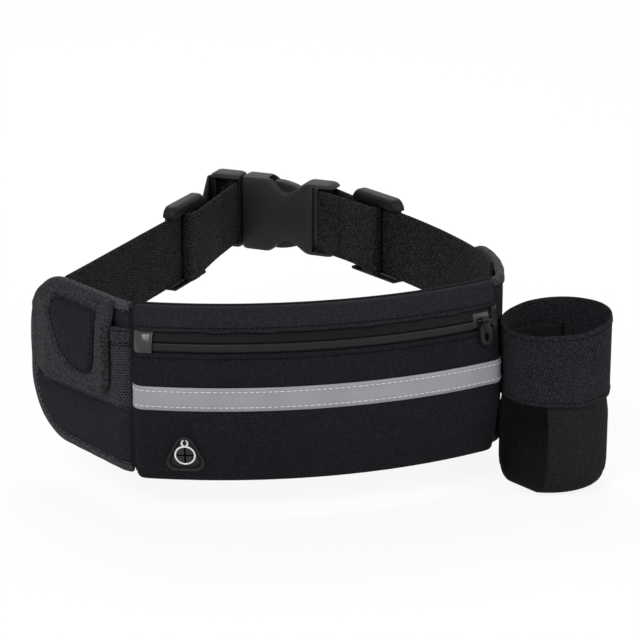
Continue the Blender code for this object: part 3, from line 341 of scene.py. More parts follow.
def knit(cloth, pitch):
    """Fine diagonal stitches of a knitted face."""
    u, v = halves(cloth)
    one, two = wave(u + v, pitch), wave(u - v, pitch)
    return one * two, one.math("MAXIMUM", two) * 0.5 + 0.25


def air_mesh(cloth, pitch):
    """Rows of small round holes in a knitted net, each row half a hole further along."""
    u, v = halves(cloth)
    row = v / (pitch * ROW_SPACING)
    odd = (row + ROWS_BELOW).math("FLOOR").math("MODULO", 2)
    x, y = (odd * 0.5 + u / pitch).math("FRACT") - 0.5, row.math("FRACT") - 0.5
    height = ramp((x * x + y * y).math("SQRT"), start=HOLE_START, end=HOLE_END, kind="SMOOTHSTEP")
    return height, height


def ribs(cloth, rib, yarn):
    """Ribs across a thread, with the yarns of each rib set off from the next."""
    u, v = halves(cloth)
    count = u / rib
    arch = (count * math.pi).math("SINE").math("ABSOLUTE")
    twist = wave(v, yarn, count.math("FLOOR") * math.pi)
    return arch * (twist * 0.45 + 0.55), arch * (twist * 0.6 + 0.4)


def twill(cloth, pitch):
    """Short slanting floats of yarn, staggered from row to row, as in knitted elastic."""
    u, v = halves(cloth)
    slant, row = wave(v * 0.8 + u, pitch), wave(u * -0.25 + v, pitch * 0.85)
    fuzz, floats = grain(cloth, 1500.0), slant * (row * 0.6 + 0.4)
    return fuzz * 0.35 + floats, floats * (fuzz * 1.9)


def cloth_drift(place, scale):
    """Soft tonal drift and small flecks of lint."""
    return grain(place, scale, 4.0, 0.55), ramp(grain(place, 850.0, 1.0), start=LINT_START, end=LINT_END)


def moulded_skin(place, scale):
    """The fine eroded grain of a moulded part and its rubbed patches."""
    return grain(place, scale, 2.0, 0.6), grain(place, 55.0, 5.0, 0.65)


KNIT = effect("Knit face", knit, Pitch=0.001)
AIR = effect("Air mesh", air_mesh, Pitch=0.0016)
RIBS = effect("Webbing", ribs, Rib=0.0012, Yarn=0.0011)
TWILL = effect("Twill", twill, Pitch=0.0012)
DRIFT = effect("Cloth drift", cloth_drift, ("Tone", "Fleck"), "Place", Scale=18.0)
SKIN = effect("Moulded skin", moulded_skin, ("Height", "Rub"), "Place", Scale=1800.0)
print("effects:", ", ".join(tree.name for tree in bpy.data.node_groups))

# %% [markdown]
# ## Cloth finishes
# All the cloth on the pack is black, so its finishes differ by weave, by how dark their hollows are
# and by how much light their yarns catch. A flat black would hide every seam. Cloth has next to no
# mirror gloss, so the specular level is low, and air mesh gets a little sheen for its loose fibres.

# %% Cloth
MIDDLE_TONE, SHADE_SHARE, DRIFT_SHARE, ROUGH_DRIFT = 0.38, 0.8, 0.3, 0.06


def blank(name):
    made = bpy.data.materials.new(name)
    made.use_nodes = True
    return made, made.node_tree, made.node_tree.nodes["Principled BSDF"]


def place_group(tree, group, **sizes):
    """An effect in a material: a weave goes by the UV map, anything else by the place in space."""
    node = tree.nodes.new("ShaderNodeGroup")
    node.node_tree = group
    spots = tree.nodes.new("ShaderNodeTexCoord").outputs
    place = {"Cloth": Wire(spots["UV"])} if "Cloth" in node.inputs else {"Place": Wire(spots["Object"])}
    feed(node, place | sizes)
    return [Wire(socket) for socket in node.outputs]


def two_tones(mask, dark, light):
    node = mask.node("ShaderNodeMix")
    node.data_type = "RGBA"
    return feed(node, {"Factor": mask, "A": (*dark, 1), "B": (*light, 1)}, "Result")


def bump(height, distance):
    return feed(height.node("ShaderNodeBump"), {"Height": height, "Distance": distance})


def cloth(name, weave, dark, light, relief=0.0001, rough=0.85, gloss=0.04, sheen=0.0, fleck=0.4, contrast=1.0,
          **sizes):
    """A cloth: the weave's shade, the slow drift and the lint set its tone, and its height the relief."""
    made, tree, shader = blank(name)
    height, shade = place_group(tree, weave, **sizes)
    drift, lint = place_group(tree, DRIFT)
    tone = shade * (SHADE_SHARE - fleck) + drift * DRIFT_SHARE + lint * fleck
    tone = tone * contrast + MIDDLE_TONE * (1 - contrast)
    feed(shader, {"Base Color": two_tones(tone, dark, light),
                  "Roughness": ramp(drift, rough - ROUGH_DRIFT, rough + ROUGH_DRIFT),
                  "Normal": bump(height, relief),
                  "Specular IOR Level": gloss, "Sheen Weight": sheen, "Sheen Roughness": 0.5})
    return made


NEOPRENE = cloth("neoprene", KNIT, (0.004, 0.004, 0.0055), (0.019, 0.0185, 0.0225),
                 relief=0.00012, Pitch=0.0009)
NEOPRENE_SMOOTH = cloth("smooth neoprene", KNIT, (0.0065, 0.0065, 0.0085), (0.0265, 0.026, 0.0315),
                        relief=0.00008, rough=0.82, Pitch=0.0008)
OPEN_KNIT = {"rough": 0.88, "sheen": 0.03, "contrast": 1.4}
MESH = cloth("air mesh", AIR, (0.003, 0.003, 0.004), (0.052, 0.0505, 0.058),
             relief=0.0004, fleck=0.5, Pitch=0.0013, **OPEN_KNIT)
POCKET_MESH = cloth("pocket mesh", AIR, (0.002, 0.002, 0.003), (0.050, 0.049, 0.056),
                    relief=0.0005, fleck=0.35, Pitch=0.0017, **OPEN_KNIT)
# Painted light: a lighter copy of the air mesh for the wing bindings, which face partly down and so get less
# light.
LIT_BINDING_MESH = cloth("painted light binding mesh", AIR, (0.003, 0.003, 0.004), (0.080, 0.078, 0.088),
                     relief=0.0004, fleck=0.5, Pitch=0.0013, **OPEN_KNIT)
LINING = cloth("lining", KNIT, (0.005, 0.005, 0.006), (0.016, 0.016, 0.018), Pitch=0.0007)
WEBBING = cloth("elastic webbing", TWILL, (0.002, 0.002, 0.002), (0.044, 0.044, 0.045),
                relief=0.0004, fleck=0.35, contrast=1.9, Pitch=0.0018)
HOLDER = cloth("holder elastic", TWILL, (0.003, 0.003, 0.004), (0.040, 0.039, 0.046),
               relief=0.0004, rough=0.86, fleck=0.25, contrast=1.6, Pitch=0.0017)
PLAIN_ELASTIC = cloth("plain elastic", KNIT, (0.004, 0.004, 0.005), (0.024, 0.024, 0.027),
                      Pitch=0.0008)
THREAD = cloth("black thread", RIBS, (0.001, 0.001, 0.0015), (0.009, 0.009, 0.010),
               rough=0.8, Rib=0.0006, Yarn=0.0006)
WHITE_THREAD = cloth("white thread", RIBS, (0.60, 0.60, 0.62), (0.84, 0.84, 0.86),
                     rough=0.7, gloss=0.2, Rib=0.0006, Yarn=0.0006)
HOOKS = cloth("hook tape", KNIT, (0.004, 0.004, 0.005), (0.018, 0.018, 0.019),
              relief=0.0004, rough=0.9, Pitch=0.0011)
print(len(bpy.data.materials), "materials with the cloth finishes")

# %% [markdown]
# ## Coated, moulded and enamelled finishes
# Zip tape is coated, the port is rubber, the buckle is moulded acetal and the slider is enamelled
# metal. All of them take one recipe: a fine grain for the relief, and broad rubbed patches that
# shift tone and roughness. A single roughness would look too clean. The reflective tape mixes the
# grain into its tone, like its glass beads.

# %% Skins
ROUGH_RUB, BEAD_RUB, BEAD_GRAIN = 0.09, 0.7, 0.4


def moulded(name, dark, light, rough, gloss, relief=0.00003, scale=1800.0, beads=False):
    """A moulded skin. Beads mix the fine grain into its tone, as on reflective tape."""
    made, tree, shader = blank(name)
    height, rub = place_group(tree, SKIN, Scale=scale)
    tone = rub * BEAD_RUB + height * BEAD_GRAIN if beads else rub
    feed(shader, {"Base Color": two_tones(tone, dark, light),
                  "Roughness": ramp(rub, rough - ROUGH_RUB, rough + ROUGH_RUB),
                  "Normal": bump(height, relief), "Specular IOR Level": gloss})
    return made


REFLECTOR = moulded("reflective tape", (0.19, 0.193, 0.212), (0.34, 0.345, 0.375),
                    rough=0.51, gloss=0.25, relief=0.00004, scale=2600.0, beads=True)
TAPE = moulded("coated zip tape", (0.007, 0.007, 0.008), (0.014, 0.014, 0.0155),
               rough=0.50, gloss=0.17, relief=0.00005, scale=1100.0)
# Painted shade: a darker copy of the zip tape's finish for the upper half, which lies in the top panel's
# shadow.
PAINTED_SHADE_TAPE = moulded("painted shade upper zip tape", (0.0035, 0.0035, 0.004), (0.008, 0.008, 0.009),
                      rough=0.55, gloss=0.08, relief=0.00005, scale=1100.0)
NYLON = moulded("nylon coil", (0.004, 0.004, 0.004), (0.009, 0.009, 0.009),
                rough=0.5, gloss=0.2, relief=0.00002)
FILM = moulded("garage film", (0.008, 0.008, 0.009), (0.022, 0.022, 0.024),
               rough=0.27, gloss=0.5, relief=0.00006, scale=700.0)
ENAMEL = moulded("black enamel", (0.010, 0.010, 0.011), (0.024, 0.024, 0.025),
                 rough=0.38, gloss=0.4, relief=0.00002)
DULL_ENAMEL = moulded("dull enamel", (0.005, 0.005, 0.006), (0.012, 0.012, 0.013),
                      rough=0.42, gloss=0.16, relief=0.00002)
RUBBER = moulded("moulded rubber", (0.008, 0.008, 0.009), (0.018, 0.018, 0.020), rough=0.6, gloss=0.2)
LIP_RUBBER = moulded("soft rubber lip", (0.016, 0.016, 0.018), (0.030, 0.030, 0.033),
                     rough=0.6, gloss=0.2)
# Painted shade: near black with no gloss, for the disc that stands in for the shadowed hollow under the
# port's lips.
SHADE_DISC = moulded("painted shade port disc", (0.001, 0.001, 0.001), (0.002, 0.002, 0.002),
                 rough=0.9, gloss=0.0, relief=0.00002)
WHITE = moulded("white mark", (0.74, 0.74, 0.74), (0.86, 0.86, 0.86),
                rough=0.5, gloss=0.3, relief=0.00002)
PLASTIC = moulded("satin acetal", (0.009, 0.009, 0.010), (0.020, 0.020, 0.021),
                  rough=0.52, gloss=0.2, scale=1400.0)
DARK_PLASTIC = moulded("dark acetal", (0.004, 0.004, 0.0045), (0.009, 0.009, 0.010),
                       rough=0.42, gloss=0.13, scale=1400.0)
print(len(bpy.data.materials), "materials in all")

# %% [markdown]
# ## Stitches
# Real thread stands on the cloth, so each stitch is a small bent length of thread that rises from
# the cloth and dives back into it. A bump map could paint dashes, but they would vanish at the edge
# of a piece. One mesh holds all the rows of a seam, which keeps the scene light.

# %% Thread
STITCH_SIDES = 6
STITCH_SHARES = (-1, -0.7, 0, 0.7, 1)
STITCH_TIP, STITCH_RISE, STITCH_DIVE = 0.45, 0.9, 1.5


def stitch_mesh(name, spots, length, radius):
    """Stitches at spots given as a point, the way the row runs and the way out of the cloth."""
    points, faces, places = [], [], []
    last = len(STITCH_SHARES) - 1
    for centre, way, out in spots:
        side = way.cross(out).normalized()
        first = len(points)
        for share in STITCH_SHARES:
            thick = radius * (STITCH_TIP if abs(share) == 1 else 1)
            rise = radius * (STITCH_RISE - STITCH_DIVE * share * share)
            middle = centre + way * (share * length / 2) + out * rise
            for lean in circle(STITCH_SIDES):
                turn = math.radians(lean)
                points.append(middle + side * (math.cos(turn) * thick) + out * (math.sin(turn) * thick))
        for i in range(last):
            near, far = first + i * STITCH_SIDES, first + (i + 1) * STITCH_SIDES
            start, end = i * length / last, (i + 1) * length / last
            for j in range(STITCH_SIDES):
                k = (j + 1) % STITCH_SIDES
                faces.append((near + j, near + k, far + k, far + j))
                low, high = j * radius, (j + 1) * radius
                places += [(start, low), (start, high), (end, high), (end, low)]
        for ring in (first, first + last * STITCH_SIDES):
            faces.append(tuple(range(ring, ring + STITCH_SIDES)))
            places += [(0, j * radius) for j in range(STITCH_SIDES)]
    return mesh_of(name, points, faces, places)


def row_of(curve, pitch):
    """Spots along a curve of (point, out) pairs, one every pitch."""
    spots, travelled, due = [], 0.0, pitch / 2
    for (a, out), (b, _) in zip(curve, curve[1:]):
        step = (b - a).length
        while step > 0 and travelled + step >= due:
            spots.append((a.lerp(b, (due - travelled) / step), (b - a).normalized(), out))
            due += pitch
        travelled += step
    return spots


def stitch(name, curves, slot, surface=THREAD, body="pack", pitch=0.003, length=0.0022, radius=0.00022):
    """Sews one or more curves with the same thread."""
    spots = [spot for curve in curves for spot in row_of(curve, pitch)]
    show(name, stitch_mesh(name, spots, length, radius), surface, slot, body=body)
    print(name, "holds", len(spots), "stitches")


# %% [markdown]
# ## Camera, floor and light
# A long lens from a little above and to the left keeps the pack's lines nearly parallel. Floor and
# wall are one white sweep, as in a product studio: the camera sees it almost pure white, and it
# still takes a soft shadow. Three broad lamps give black cloth enough light to show its folds.

# %% Camera
CAMERA_PLACE, CAMERA_TARGET, LENS = (-0.2683, -1.3059, 0.4838), (0.0256, 0.0100, 0.0418), 142.9


def look(obj, target):
    obj.rotation_euler = (Vector(target) - obj.location).to_track_quat("-Z", "Y").to_euler()


camera = bpy.data.objects.new("camera", bpy.data.cameras.new("camera"))
scene.collection.objects.link(camera)
camera.location = CAMERA_PLACE
camera.data.lens, camera.data.sensor_width = LENS, 36.0
look(camera, CAMERA_TARGET)
scene.camera = camera
print("camera at", [round(x, 3) for x in camera.location])

# %% Floor, world and lamps
FLOOR_GAP = 0.0006
FLOOR_LEVEL = cad_box[0][2] - FLOOR_GAP
FLOOR_FRONT, WALL_START, SWEEP_RADIUS, WALL_TOP, FLOOR_HALF = -2.2, 1.5, 0.5, 2.6, 3
GLOW_SHARE, SKY_LIGHT, SKY_SEEN = 0.86, 0.50, 1.0


def seen_rays(tree):
    """1 for rays from the camera, from gloss or through glass."""
    path = tree.nodes.new("ShaderNodeLightPath").outputs
    seen, *others = [Wire(path[f"Is {kind} Ray"]) for kind in ("Camera", "Glossy", "Transmission")]
    for other in others:
        seen = seen.math("MAXIMUM", other)
    return seen


def white_sweep():
    made, tree, shader = blank("white sweep")
    lit = feed(shader, {"Base Color": (0.90, 0.90, 0.90, 1), "Roughness": 0.9, "Specular IOR Level": 0.1})
    glow = feed(tree.nodes.new("ShaderNodeEmission"), {"Strength": 1.0})
    mix = feed(tree.nodes.new("ShaderNodeMixShader"), {0: seen_rays(tree) * GLOW_SHARE, 1: lit, 2: glow})
    feed(tree.nodes["Material Output"], {"Surface": mix})
    return made


sweep_line = [(FLOOR_FRONT, FLOOR_LEVEL), (WALL_START, FLOOR_LEVEL)]
for turn in spread(0.1, math.pi / 2, 12):
    rise = SWEEP_RADIUS * (1 - math.cos(turn))
    sweep_line.append((WALL_START + SWEEP_RADIUS * math.sin(turn), FLOOR_LEVEL + rise))
sweep_line.append((WALL_START + SWEEP_RADIUS, WALL_TOP))
floor_rows = [[Vector((x, *spot)) for spot in sweep_line] for x in (-FLOOR_HALF, FLOOR_HALF)]
sew("floor", floor_rows, white_sweep(), None, body=None, closed=False)

world = bpy.data.worlds.new("studio")
scene.world = world
world.use_nodes = True
sky = ramp(seen_rays(world.node_tree), SKY_LIGHT, SKY_SEEN)
feed(world.node_tree.nodes["Background"], {"Color": (1, 1, 1, 1), "Strength": sky})
for name, place, target, size, power in (("key", (-0.9, -1.1, 1.3), (0, 0, 0.05), (0.9, 0.7), 15),
                                         ("fill", (1.2, -0.9, 0.8), (0, 0, 0.05), (0.8, 0.8), 7),
                                         ("rim", (0.1, 1.1, 1.4), (0, 0.05, 0.07), (1.2, 0.5), 12)):
    lamp = bpy.data.objects.new(name, bpy.data.lights.new(name, "AREA"))
    lamp.data.shape = "RECTANGLE"
    lamp.data.size, lamp.data.size_y = size
    lamp.data.energy = power
    lamp.location = place
    scene.collection.objects.link(lamp)
    look(lamp, target)
scene.view_settings.view_transform = "Standard"
print("floor at", round(FLOOR_LEVEL, 4))

# %% [markdown]
# ## Pouch front
# The front is one piece of neoprene, sewn along the zip, under the stripe, at both ends and along
# the bottom. Between its seams the cloth swells a little. That swell could be modelled by hand. It
# is simulated here, because cloth finds its own shape between seams: the sewn points are pinned, a
# light pressure fills the rest, and the result is kept as the mesh.

# %% Cloth pressure
CLOTH_SETTINGS = {"quality": 6, "mass": 0.05, "tension_stiffness": 12, "compression_stiffness": 12,
                  "shear_stiffness": 4, "bending_stiffness": 1.2, "shrink_min": -0.004,
                  "vertex_group_mass": "sewn", "use_pressure": True, "uniform_pressure_force": 9.0}
SWELL_FRAMES, SWELL_LIMIT = 20, 0.0022


def swell(made, pins):
    """Runs a short cloth simulation with pressure on a sheet whose pinned points stay where they are."""
    mesh = made.data
    before = [v.co.copy() for v in mesh.vertices]
    group = made.vertex_groups.new(name="sewn")
    group.add(pins, 1.0, "REPLACE")
    step = made.modifiers.new("Cloth", "CLOTH")
    for title, value in CLOTH_SETTINGS.items():
        setattr(step.settings, title, value)
    step.settings.effector_weights.gravity = 0
    step.collision_settings.use_collision = False
    for now in range(1, SWELL_FRAMES + 1):
        scene.frame_set(now)
    after = made.evaluated_get(bpy.context.evaluated_depsgraph_get()).to_mesh()
    shifts = [new.co - old for new, old in zip(after.vertices, before)]
    made.modifiers.remove(step)
    made.vertex_groups.remove(group)
    for vertex, old, shift in zip(mesh.vertices, before, shifts):
        vertex.co = old + shift * min(1, SWELL_LIMIT / max(shift.length, SWELL_LIMIT))
    scene.frame_set(1)
    mesh.update()
    print(made.name, "swelled by", round(max(shift.length for shift in shifts) * 1000, 2), "mm at most")


# %% Front panel
WALL = 0.0018
EDGE_ROUND, LOW_CORNER, TOP_CORNER = 0.0028, 0.0035, 0.0018
STRIPE_LOW, STRIPE_HIGH = 0.041, 0.0532
ZIP_LOW, ZIP_HEIGHT, ZIP_HIGH = 0.07005, 0.0748, 0.08035
SEAM_MARGIN = 0.001
PINNED_LOW, PINNED_HIGH, PINNED_ENDS = 4, 2, 4
corner_depth = pouch_depth(EDGE_ROUND) - EDGE_ROUND
front_profile = [(GAP, 0.0), (corner_depth * 0.5, 0.0)]
front_profile += corner_arc(corner_depth, EDGE_ROUND, EDGE_ROUND, -90, 0, 5)
front_profile += [(pouch_depth(z), z) for z in spread(EDGE_ROUND, ZIP_LOW, 34)[1:]]
front_stations = pouch_stations()


def front_point(angle, depth, height):
    """A point of the front: near the ends its lower part is drawn up round the corner."""
    rise = corner_rise(angle, LOW_CORNER)
    return pouch_point(angle, depth, rise + height * (ZIP_LOW - rise) / ZIP_LOW)


def thicken(made):
    """Gives a sheet the thickness of neoprene, towards its inside."""
    step = made.modifiers.new("Neoprene", "SOLIDIFY")
    step.thickness, step.offset = WALL, -1
    return soften(made)


front_rows = [[front_point(angle, *spot) for spot in front_profile] for angle in front_stations]
front = sew("pouch_front", front_rows, NEOPRENE, "neoprene", "front_panel", closed=False)
sewn = []
for i in range(len(front_stations)):
    at_end = i < PINNED_ENDS or i >= len(front_stations) - PINNED_ENDS
    for j, (depth, height) in enumerate(front_profile):
        at_edge = j < PINNED_LOW or j >= len(front_profile) - PINNED_HIGH
        if at_end or at_edge or STRIPE_LOW - SEAM_MARGIN < height < STRIPE_HIGH + SEAM_MARGIN:
            sewn.append(i * len(front_profile) + j)
swell(front, sewn)
thicken(front)
print("front is pinned at", len(sewn), "of", len(front.data.vertices), "points")

# %% [markdown]
# ## Top panel and end seams
# The strip above the zip folds over the pouch's top edge. Its lower edge is a cut edge of thick
# cloth, so slow noise makes it wave slightly where a ruled line would look printed. A rolled seam
# closes each end, where the front is sewn to a wing. It is lofted as a vertical roll that pinches
# at top and bottom.

# %% Top panel
TOP_ROUND, EDGE_WAVE, EDGE_RIPPLE, TOP_PUFF = 0.0022, 0.0006, 0.00025, 0.0002


def top_profile(angle):
    """The top strip's section: a wavy cut edge, a flat face, a round top edge."""
    ripple = EDGE_WAVE * noise.noise(Vector((angle * 0.35, 3.1, 0)))
    ripple += EDGE_RIPPLE * noise.noise(Vector((angle * 1.4, 7.3, 0)))
    puff = TOP_PUFF * math.sin(angle * 1.3)
    high = POUCH_HEIGHT - corner_rise(angle, TOP_CORNER)
    bend = high - TOP_ROUND
    spots = [(pouch_depth(z) + puff, z) for z in spread(ZIP_HIGH + ripple, bend, 9)]
    spots += corner_arc(pouch_depth(bend) + puff - TOP_ROUND, bend, TOP_ROUND, 15, 90, 5)
    return spots + [(GAP, high)]


top_rows = [[pouch_point(angle, *spot) for spot in top_profile(angle)] for angle in front_stations]
thicken(sew("pouch_top", top_rows, NEOPRENE_SMOOTH, "neoprene", "top_panel", closed=False))
print("top panel has", len(top_rows), "sections")

# %% End seams
BACK_THICK = 0.0022
SEAM_BESIDE, SEAM_HALF, SEAM_SUNK = 0.0006, 0.0018, 0.0004
PINCH_RUN, PINCH_SHARE, SEAM_WAVE = 0.005, 0.6, 0.05
SEAM_FOOT, SEAM_HEAD = LOW_CORNER * 0.6, POUCH_HEIGHT - TOP_CORNER


def end_seam(side):
    """A rolled vertical seam in the fold between the pouch and a wing."""
    middle = side * (POUCH_HALF_ANGLE + arc_degrees(SEAM_BESIDE))
    outward = pouch_point(middle, 0, 0) - ARC_CENTRE
    outward.normalize()
    rows = []
    for height in spread(SEAM_FOOT, SEAM_HEAD, 40):
        front_edge = pouch_depth(height) * END_DEPTH_SHARE - SEAM_SUNK
        half = (front_edge + BACK_THICK) / 2
        centre = ARC_CENTRE + outward * (BACK_RADIUS + front_edge - half) + UP * height
        pinch = 1 - PINCH_SHARE * smooth(1 - min(height - SEAM_FOOT, SEAM_HEAD - height) / PINCH_RUN)
        pinch *= 1 + SEAM_WAVE * noise.noise(Vector((side, 0, height * 160)))
        ways = [plan(lean) * pinch for lean in circle(16)]
        rows.append([centre + outward * (way.x * half) + plan(middle) * (way.y * SEAM_HALF) for way in ways])
    return rows


for side, name in ((-1, "left"), (1, "right")):
    sew(f"{name}_end_roll", end_seam(side), NEOPRENE, "neoprene", f"{name}_end_seam")
print("end seams stand", round(SEAM_HEAD - SEAM_FOOT, 4), "m high")

# %% [markdown]
# ## Back panel and pad
# On the side towards the body a thin lining closes the pouch, with a pad of air mesh over it. Both
# are sheets on the same arc. The pad swells between its edges by a formula, which is enough for a
# face that lies flat.

# %% Back panel and its mesh pad
PAD_THICK, PAD_INSET, PAD_CROWN = 0.0023, 0.003, 0.0012
CROWN_ENDS = 2.5


def back_sheet(inner, outer, inset, crown):
    """A sheet on the side towards the body, with round corners and a crown between its edges."""
    rows = []
    for angle in pouch_stations(80):
        low = inset + corner_rise(angle, LOW_CORNER)
        high = POUCH_HEIGHT - inset - corner_rise(angle, TOP_CORNER)
        ends = smooth((POUCH_HALF_ANGLE - abs(angle)) / CROWN_ENDS)
        row = []
        for share in spread(0, 1, 24):
            puff = crown * min(1, 6 * share, 6 * (1 - share)) * ends
            row.append(pouch_point(angle, inner - puff, low + (high - low) * share))
        rows.append(row + [pouch_point(angle, outer, height) for height in (high, low)])
    return rows


sew("pouch_lining", back_sheet(-BACK_THICK, 0, 0.0, 0.0), LINING, "lining", "back_panel")
pad_outer = -BACK_THICK - GAP
pad_rows = back_sheet(pad_outer - PAD_THICK, pad_outer, PAD_INSET, PAD_CROWN)
sew("back_pad", pad_rows, MESH, "air_mesh", "back_mesh_pad")
print("pad stands", round((PAD_THICK + PAD_CROWN) * 1000, 1), "mm off the lining")

# %% [markdown]
# ## Zip
# The zip is a coated tape, split along its middle: each half has a flat lip beside the split and
# goes under its panel, and a nylon coil runs behind each lip. The upper half lies deeper, in the
# shade of the top panel, and its tape takes a darker copy of the finish as painted shade for that
# shadow. The coil is a real helix, so it reads as teeth from any side.

# %% Zip tapes and coils
LIP_REACH, LIP_RIPPLE = 0.0048, 0.00025
COIL_PITCH, COIL_HALF, COIL_DEPTH, COIL_WIRE, COIL_STEPS = 0.0015, 0.00062, 0.00048, 0.00022, 8
COIL_OFFSET, COIL_BEHIND, COIL_OUT, COIL_SHORT = 0.00145, WALL + 2 * GAP + 0.00135, 0.007, 0.3


def zip_tape(side, shoulder):
    """One half of the tape, as offsets from the pouch's skin at a reach from the split."""
    profile = [(-0.0021, 0.0108), (-0.0021, 0.0052), (-0.0018, 0.0046), (shoulder, 0.0041),
               (shoulder * 0.8 - 0.00016, 0.0030), (-0.0008, 0.0016), (-0.0008, 0.0006), (-0.0010, 0.00014),
               (-0.0021, 0.00012), (-0.0028, 0.0007), (-0.0028, 0.0108)]
    rows = []
    for angle in front_stations:
        row = []
        for offset, reach in profile:
            height = ZIP_HEIGHT + side * reach
            if reach < LIP_REACH:
                offset += LIP_RIPPLE * noise.noise(Vector((angle * 0.5, side * 5.0, reach * 200)))
            row.append(pouch_point(angle, pouch_depth(height) + offset, height))
        rows.append(row)
    return rows


def zip_coil(side):
    """A nylon coil: one helix along the tape's edge."""
    length = math.radians(2 * POUCH_HALF_ANGLE) * (BACK_RADIUS + COIL_OUT)
    steps = int(length / COIL_PITCH) * COIL_STEPS
    rows = []
    for i in range(steps + 1):
        angle = (2 * i / steps - 1) * (POUCH_HALF_ANGLE - COIL_SHORT)
        lean = 2 * math.pi * i / COIL_STEPS
        height = ZIP_HEIGHT + side * COIL_OFFSET + COIL_HALF * math.cos(lean)
        depth = pouch_depth(height) - COIL_BEHIND + COIL_DEPTH * math.sin(lean)
        middle = pouch_point(angle, depth, height)
        out = (pouch_point(angle, depth + 0.001, height) - middle).normalized()
        radial = (out * math.sin(lean) + UP * math.cos(lean)).normalized() * COIL_WIRE
        ahead = plan(angle) * COIL_WIRE
        rows.append([middle + radial, middle + ahead, middle - radial, middle - ahead])
    return rows


# The upper tape takes the painted shade finish.
ZIP_SIDES = (("lower", -1, -0.0009, TAPE), ("upper", 1, -0.0017, PAINTED_SHADE_TAPE))
for name, side, shoulder, surface in ZIP_SIDES:
    soften(sew(f"{name}_tape", zip_tape(side, shoulder), surface, "zip_tape", f"{name}_zip_tape"))
for name, side, shoulder, surface in ZIP_SIDES:
    sew(f"{name}_coil", zip_coil(side), NYLON, "zip_nylon", f"{name}_zip_coil")
print("coils have", len(zip_coil(1)) // COIL_STEPS, "turns each")

# %% [markdown]
# ## Film over the tape ends
# A patch of film covers each end of the tape, so that the slider stops there. The left one bulges
# over the tape and shines, and the right one is pressed down onto it and takes the tape's darker
# finish, painted shade for the shadow it lies in. A box with a bevel would look like hard plastic,
# so each is a thin closed sheet, crowned or sunk by one value, and a little noise wrinkles it.

# %% Film patches
FILM_HALF, FILM_THICK, FILM_EDGE, FILM_RIPPLE = 0.0056, 0.0003, 0.0012, 0.00025
LEFT_FILM, LEFT_BULGE, RIGHT_FILM, RIGHT_BULGE = 0.0105, 0.0012, 0.0055, -0.0006


def film_patch(start, end, crown):
    """A thin film that bridges both panel edges, raised over the tape or sunk where the crown is negative."""
    low, high = ZIP_HEIGHT - FILM_HALF, ZIP_HEIGHT + FILM_HALF
    rows = []
    for angle in spread(start, end, 20):
        skin = []
        for z in spread(low, high, 21):
            rise = crown * (1 - (abs(z - ZIP_HEIGHT) / FILM_HALF) ** 2)
            rise += FILM_RIPPLE * noise.noise(Vector((angle * 1.6, z * 200, 1)))
            near = min(z - low, high - z, math.radians(min(angle - start, end - angle)) * BACK_RADIUS)
            skin.append((pouch_depth(z) + rise + FILM_THICK * (2 * smooth(near / FILM_EDGE) - 1), z))
        under = [(depth - FILM_THICK, z) for depth, z in skin[::-1]]
        rows.append([pouch_point(angle, *spot) for spot in skin + under])
    return rows


left_film = film_patch(-POUCH_HALF_ANGLE, -POUCH_HALF_ANGLE + arc_degrees(LEFT_FILM), LEFT_BULGE)
right_film = film_patch(POUCH_HALF_ANGLE - arc_degrees(RIGHT_FILM), POUCH_HALF_ANGLE, RIGHT_BULGE)
sew("left_garage", left_film, FILM, "zip_film", "left_zip_garage")
# The right film takes the darker tape finish: painted shade, as it lies out of the light.
sew("right_garage", right_film, TAPE, "zip_film", "right_zip_garage")
print("film covers", LEFT_FILM, "and", RIGHT_FILM, "m of the tape")

# %% [markdown]
# ## Slider and pull
# The slider and its pull are cast metal with black enamel. Their solids already have the right
# shape, so they are not modelled again: a copy is cleaned of flat joins, and a bevel rounds its
# sharp edges so that they catch light.

# %% Hard pieces with rounded edges
SAME_POINT, FLAT_JOIN, SHARP_EDGE = 0.000002, math.radians(0.8), math.radians(30)


def dress(node, name, surface, body, slot, width, segments=3):
    """The node's own shape, cleaned of flat joins, with its sharp edges rounded."""
    work = bmesh.new()
    work.from_mesh(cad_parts[node].data)
    bmesh.ops.remove_doubles(work, verts=work.verts, dist=SAME_POINT)
    bmesh.ops.dissolve_limit(work, angle_limit=FLAT_JOIN, verts=work.verts, edges=work.edges)
    bmesh.ops.recalc_face_normals(work, faces=work.faces)
    mesh = bpy.data.meshes.new(name)
    work.to_mesh(mesh)
    work.free()
    mesh.shade_smooth()
    made = show(name, mesh, surface, slot, node, body=body)
    edge = made.modifiers.new("Edges", "BEVEL")
    edge.width, edge.segments = width, segments
    edge.limit_method, edge.angle_limit = "ANGLE", SHARP_EDGE
    edge.harden_normals = True
    print(name, "has", len(mesh.polygons), "faces before its edges are rounded")


dress("zip_slider", "zip_slider_body", ENAMEL, "zip_slider", "zip_metal", 0.00045, segments=4)
dress("zip_pull", "zip_pull_tab", DULL_ENAMEL, "zip_pull", "zip_metal", 0.00022)

# %% [markdown]
# ## Reflective stripe
# A silver tape is sewn across the front with two rows of white lockstitch, each about two
# millimetres from its edge. A painted band would be simpler, but its edge would have no thickness,
# so the tape is lofted along the pouch's skin and bends with it. Two rows of black thread hold the
# zip, one in each panel.

# %% Stripe and stitching on the front
TAPE_LIFT, TAPE_THICK, TAPE_RIPPLE = 0.0005, 0.0004, 0.00012
STRIPE_SEAM, ZIP_SEAM, WHITE_LIFT, BLACK_LIFT = 0.0021, 0.0024, GAP + 0.00075, 0.0004


def pouch_curve(height, lift):
    """A line along the pouch's skin at one height, with the way out of the skin."""
    curve = []
    for angle in pouch_stations(150):
        point = pouch_point(angle, pouch_depth(height) + lift, height)
        above = pouch_point(angle, pouch_depth(height + 0.001) + lift, height + 0.001)
        curve.append((point, plan(angle).cross(above - point).normalized()))
    return curve


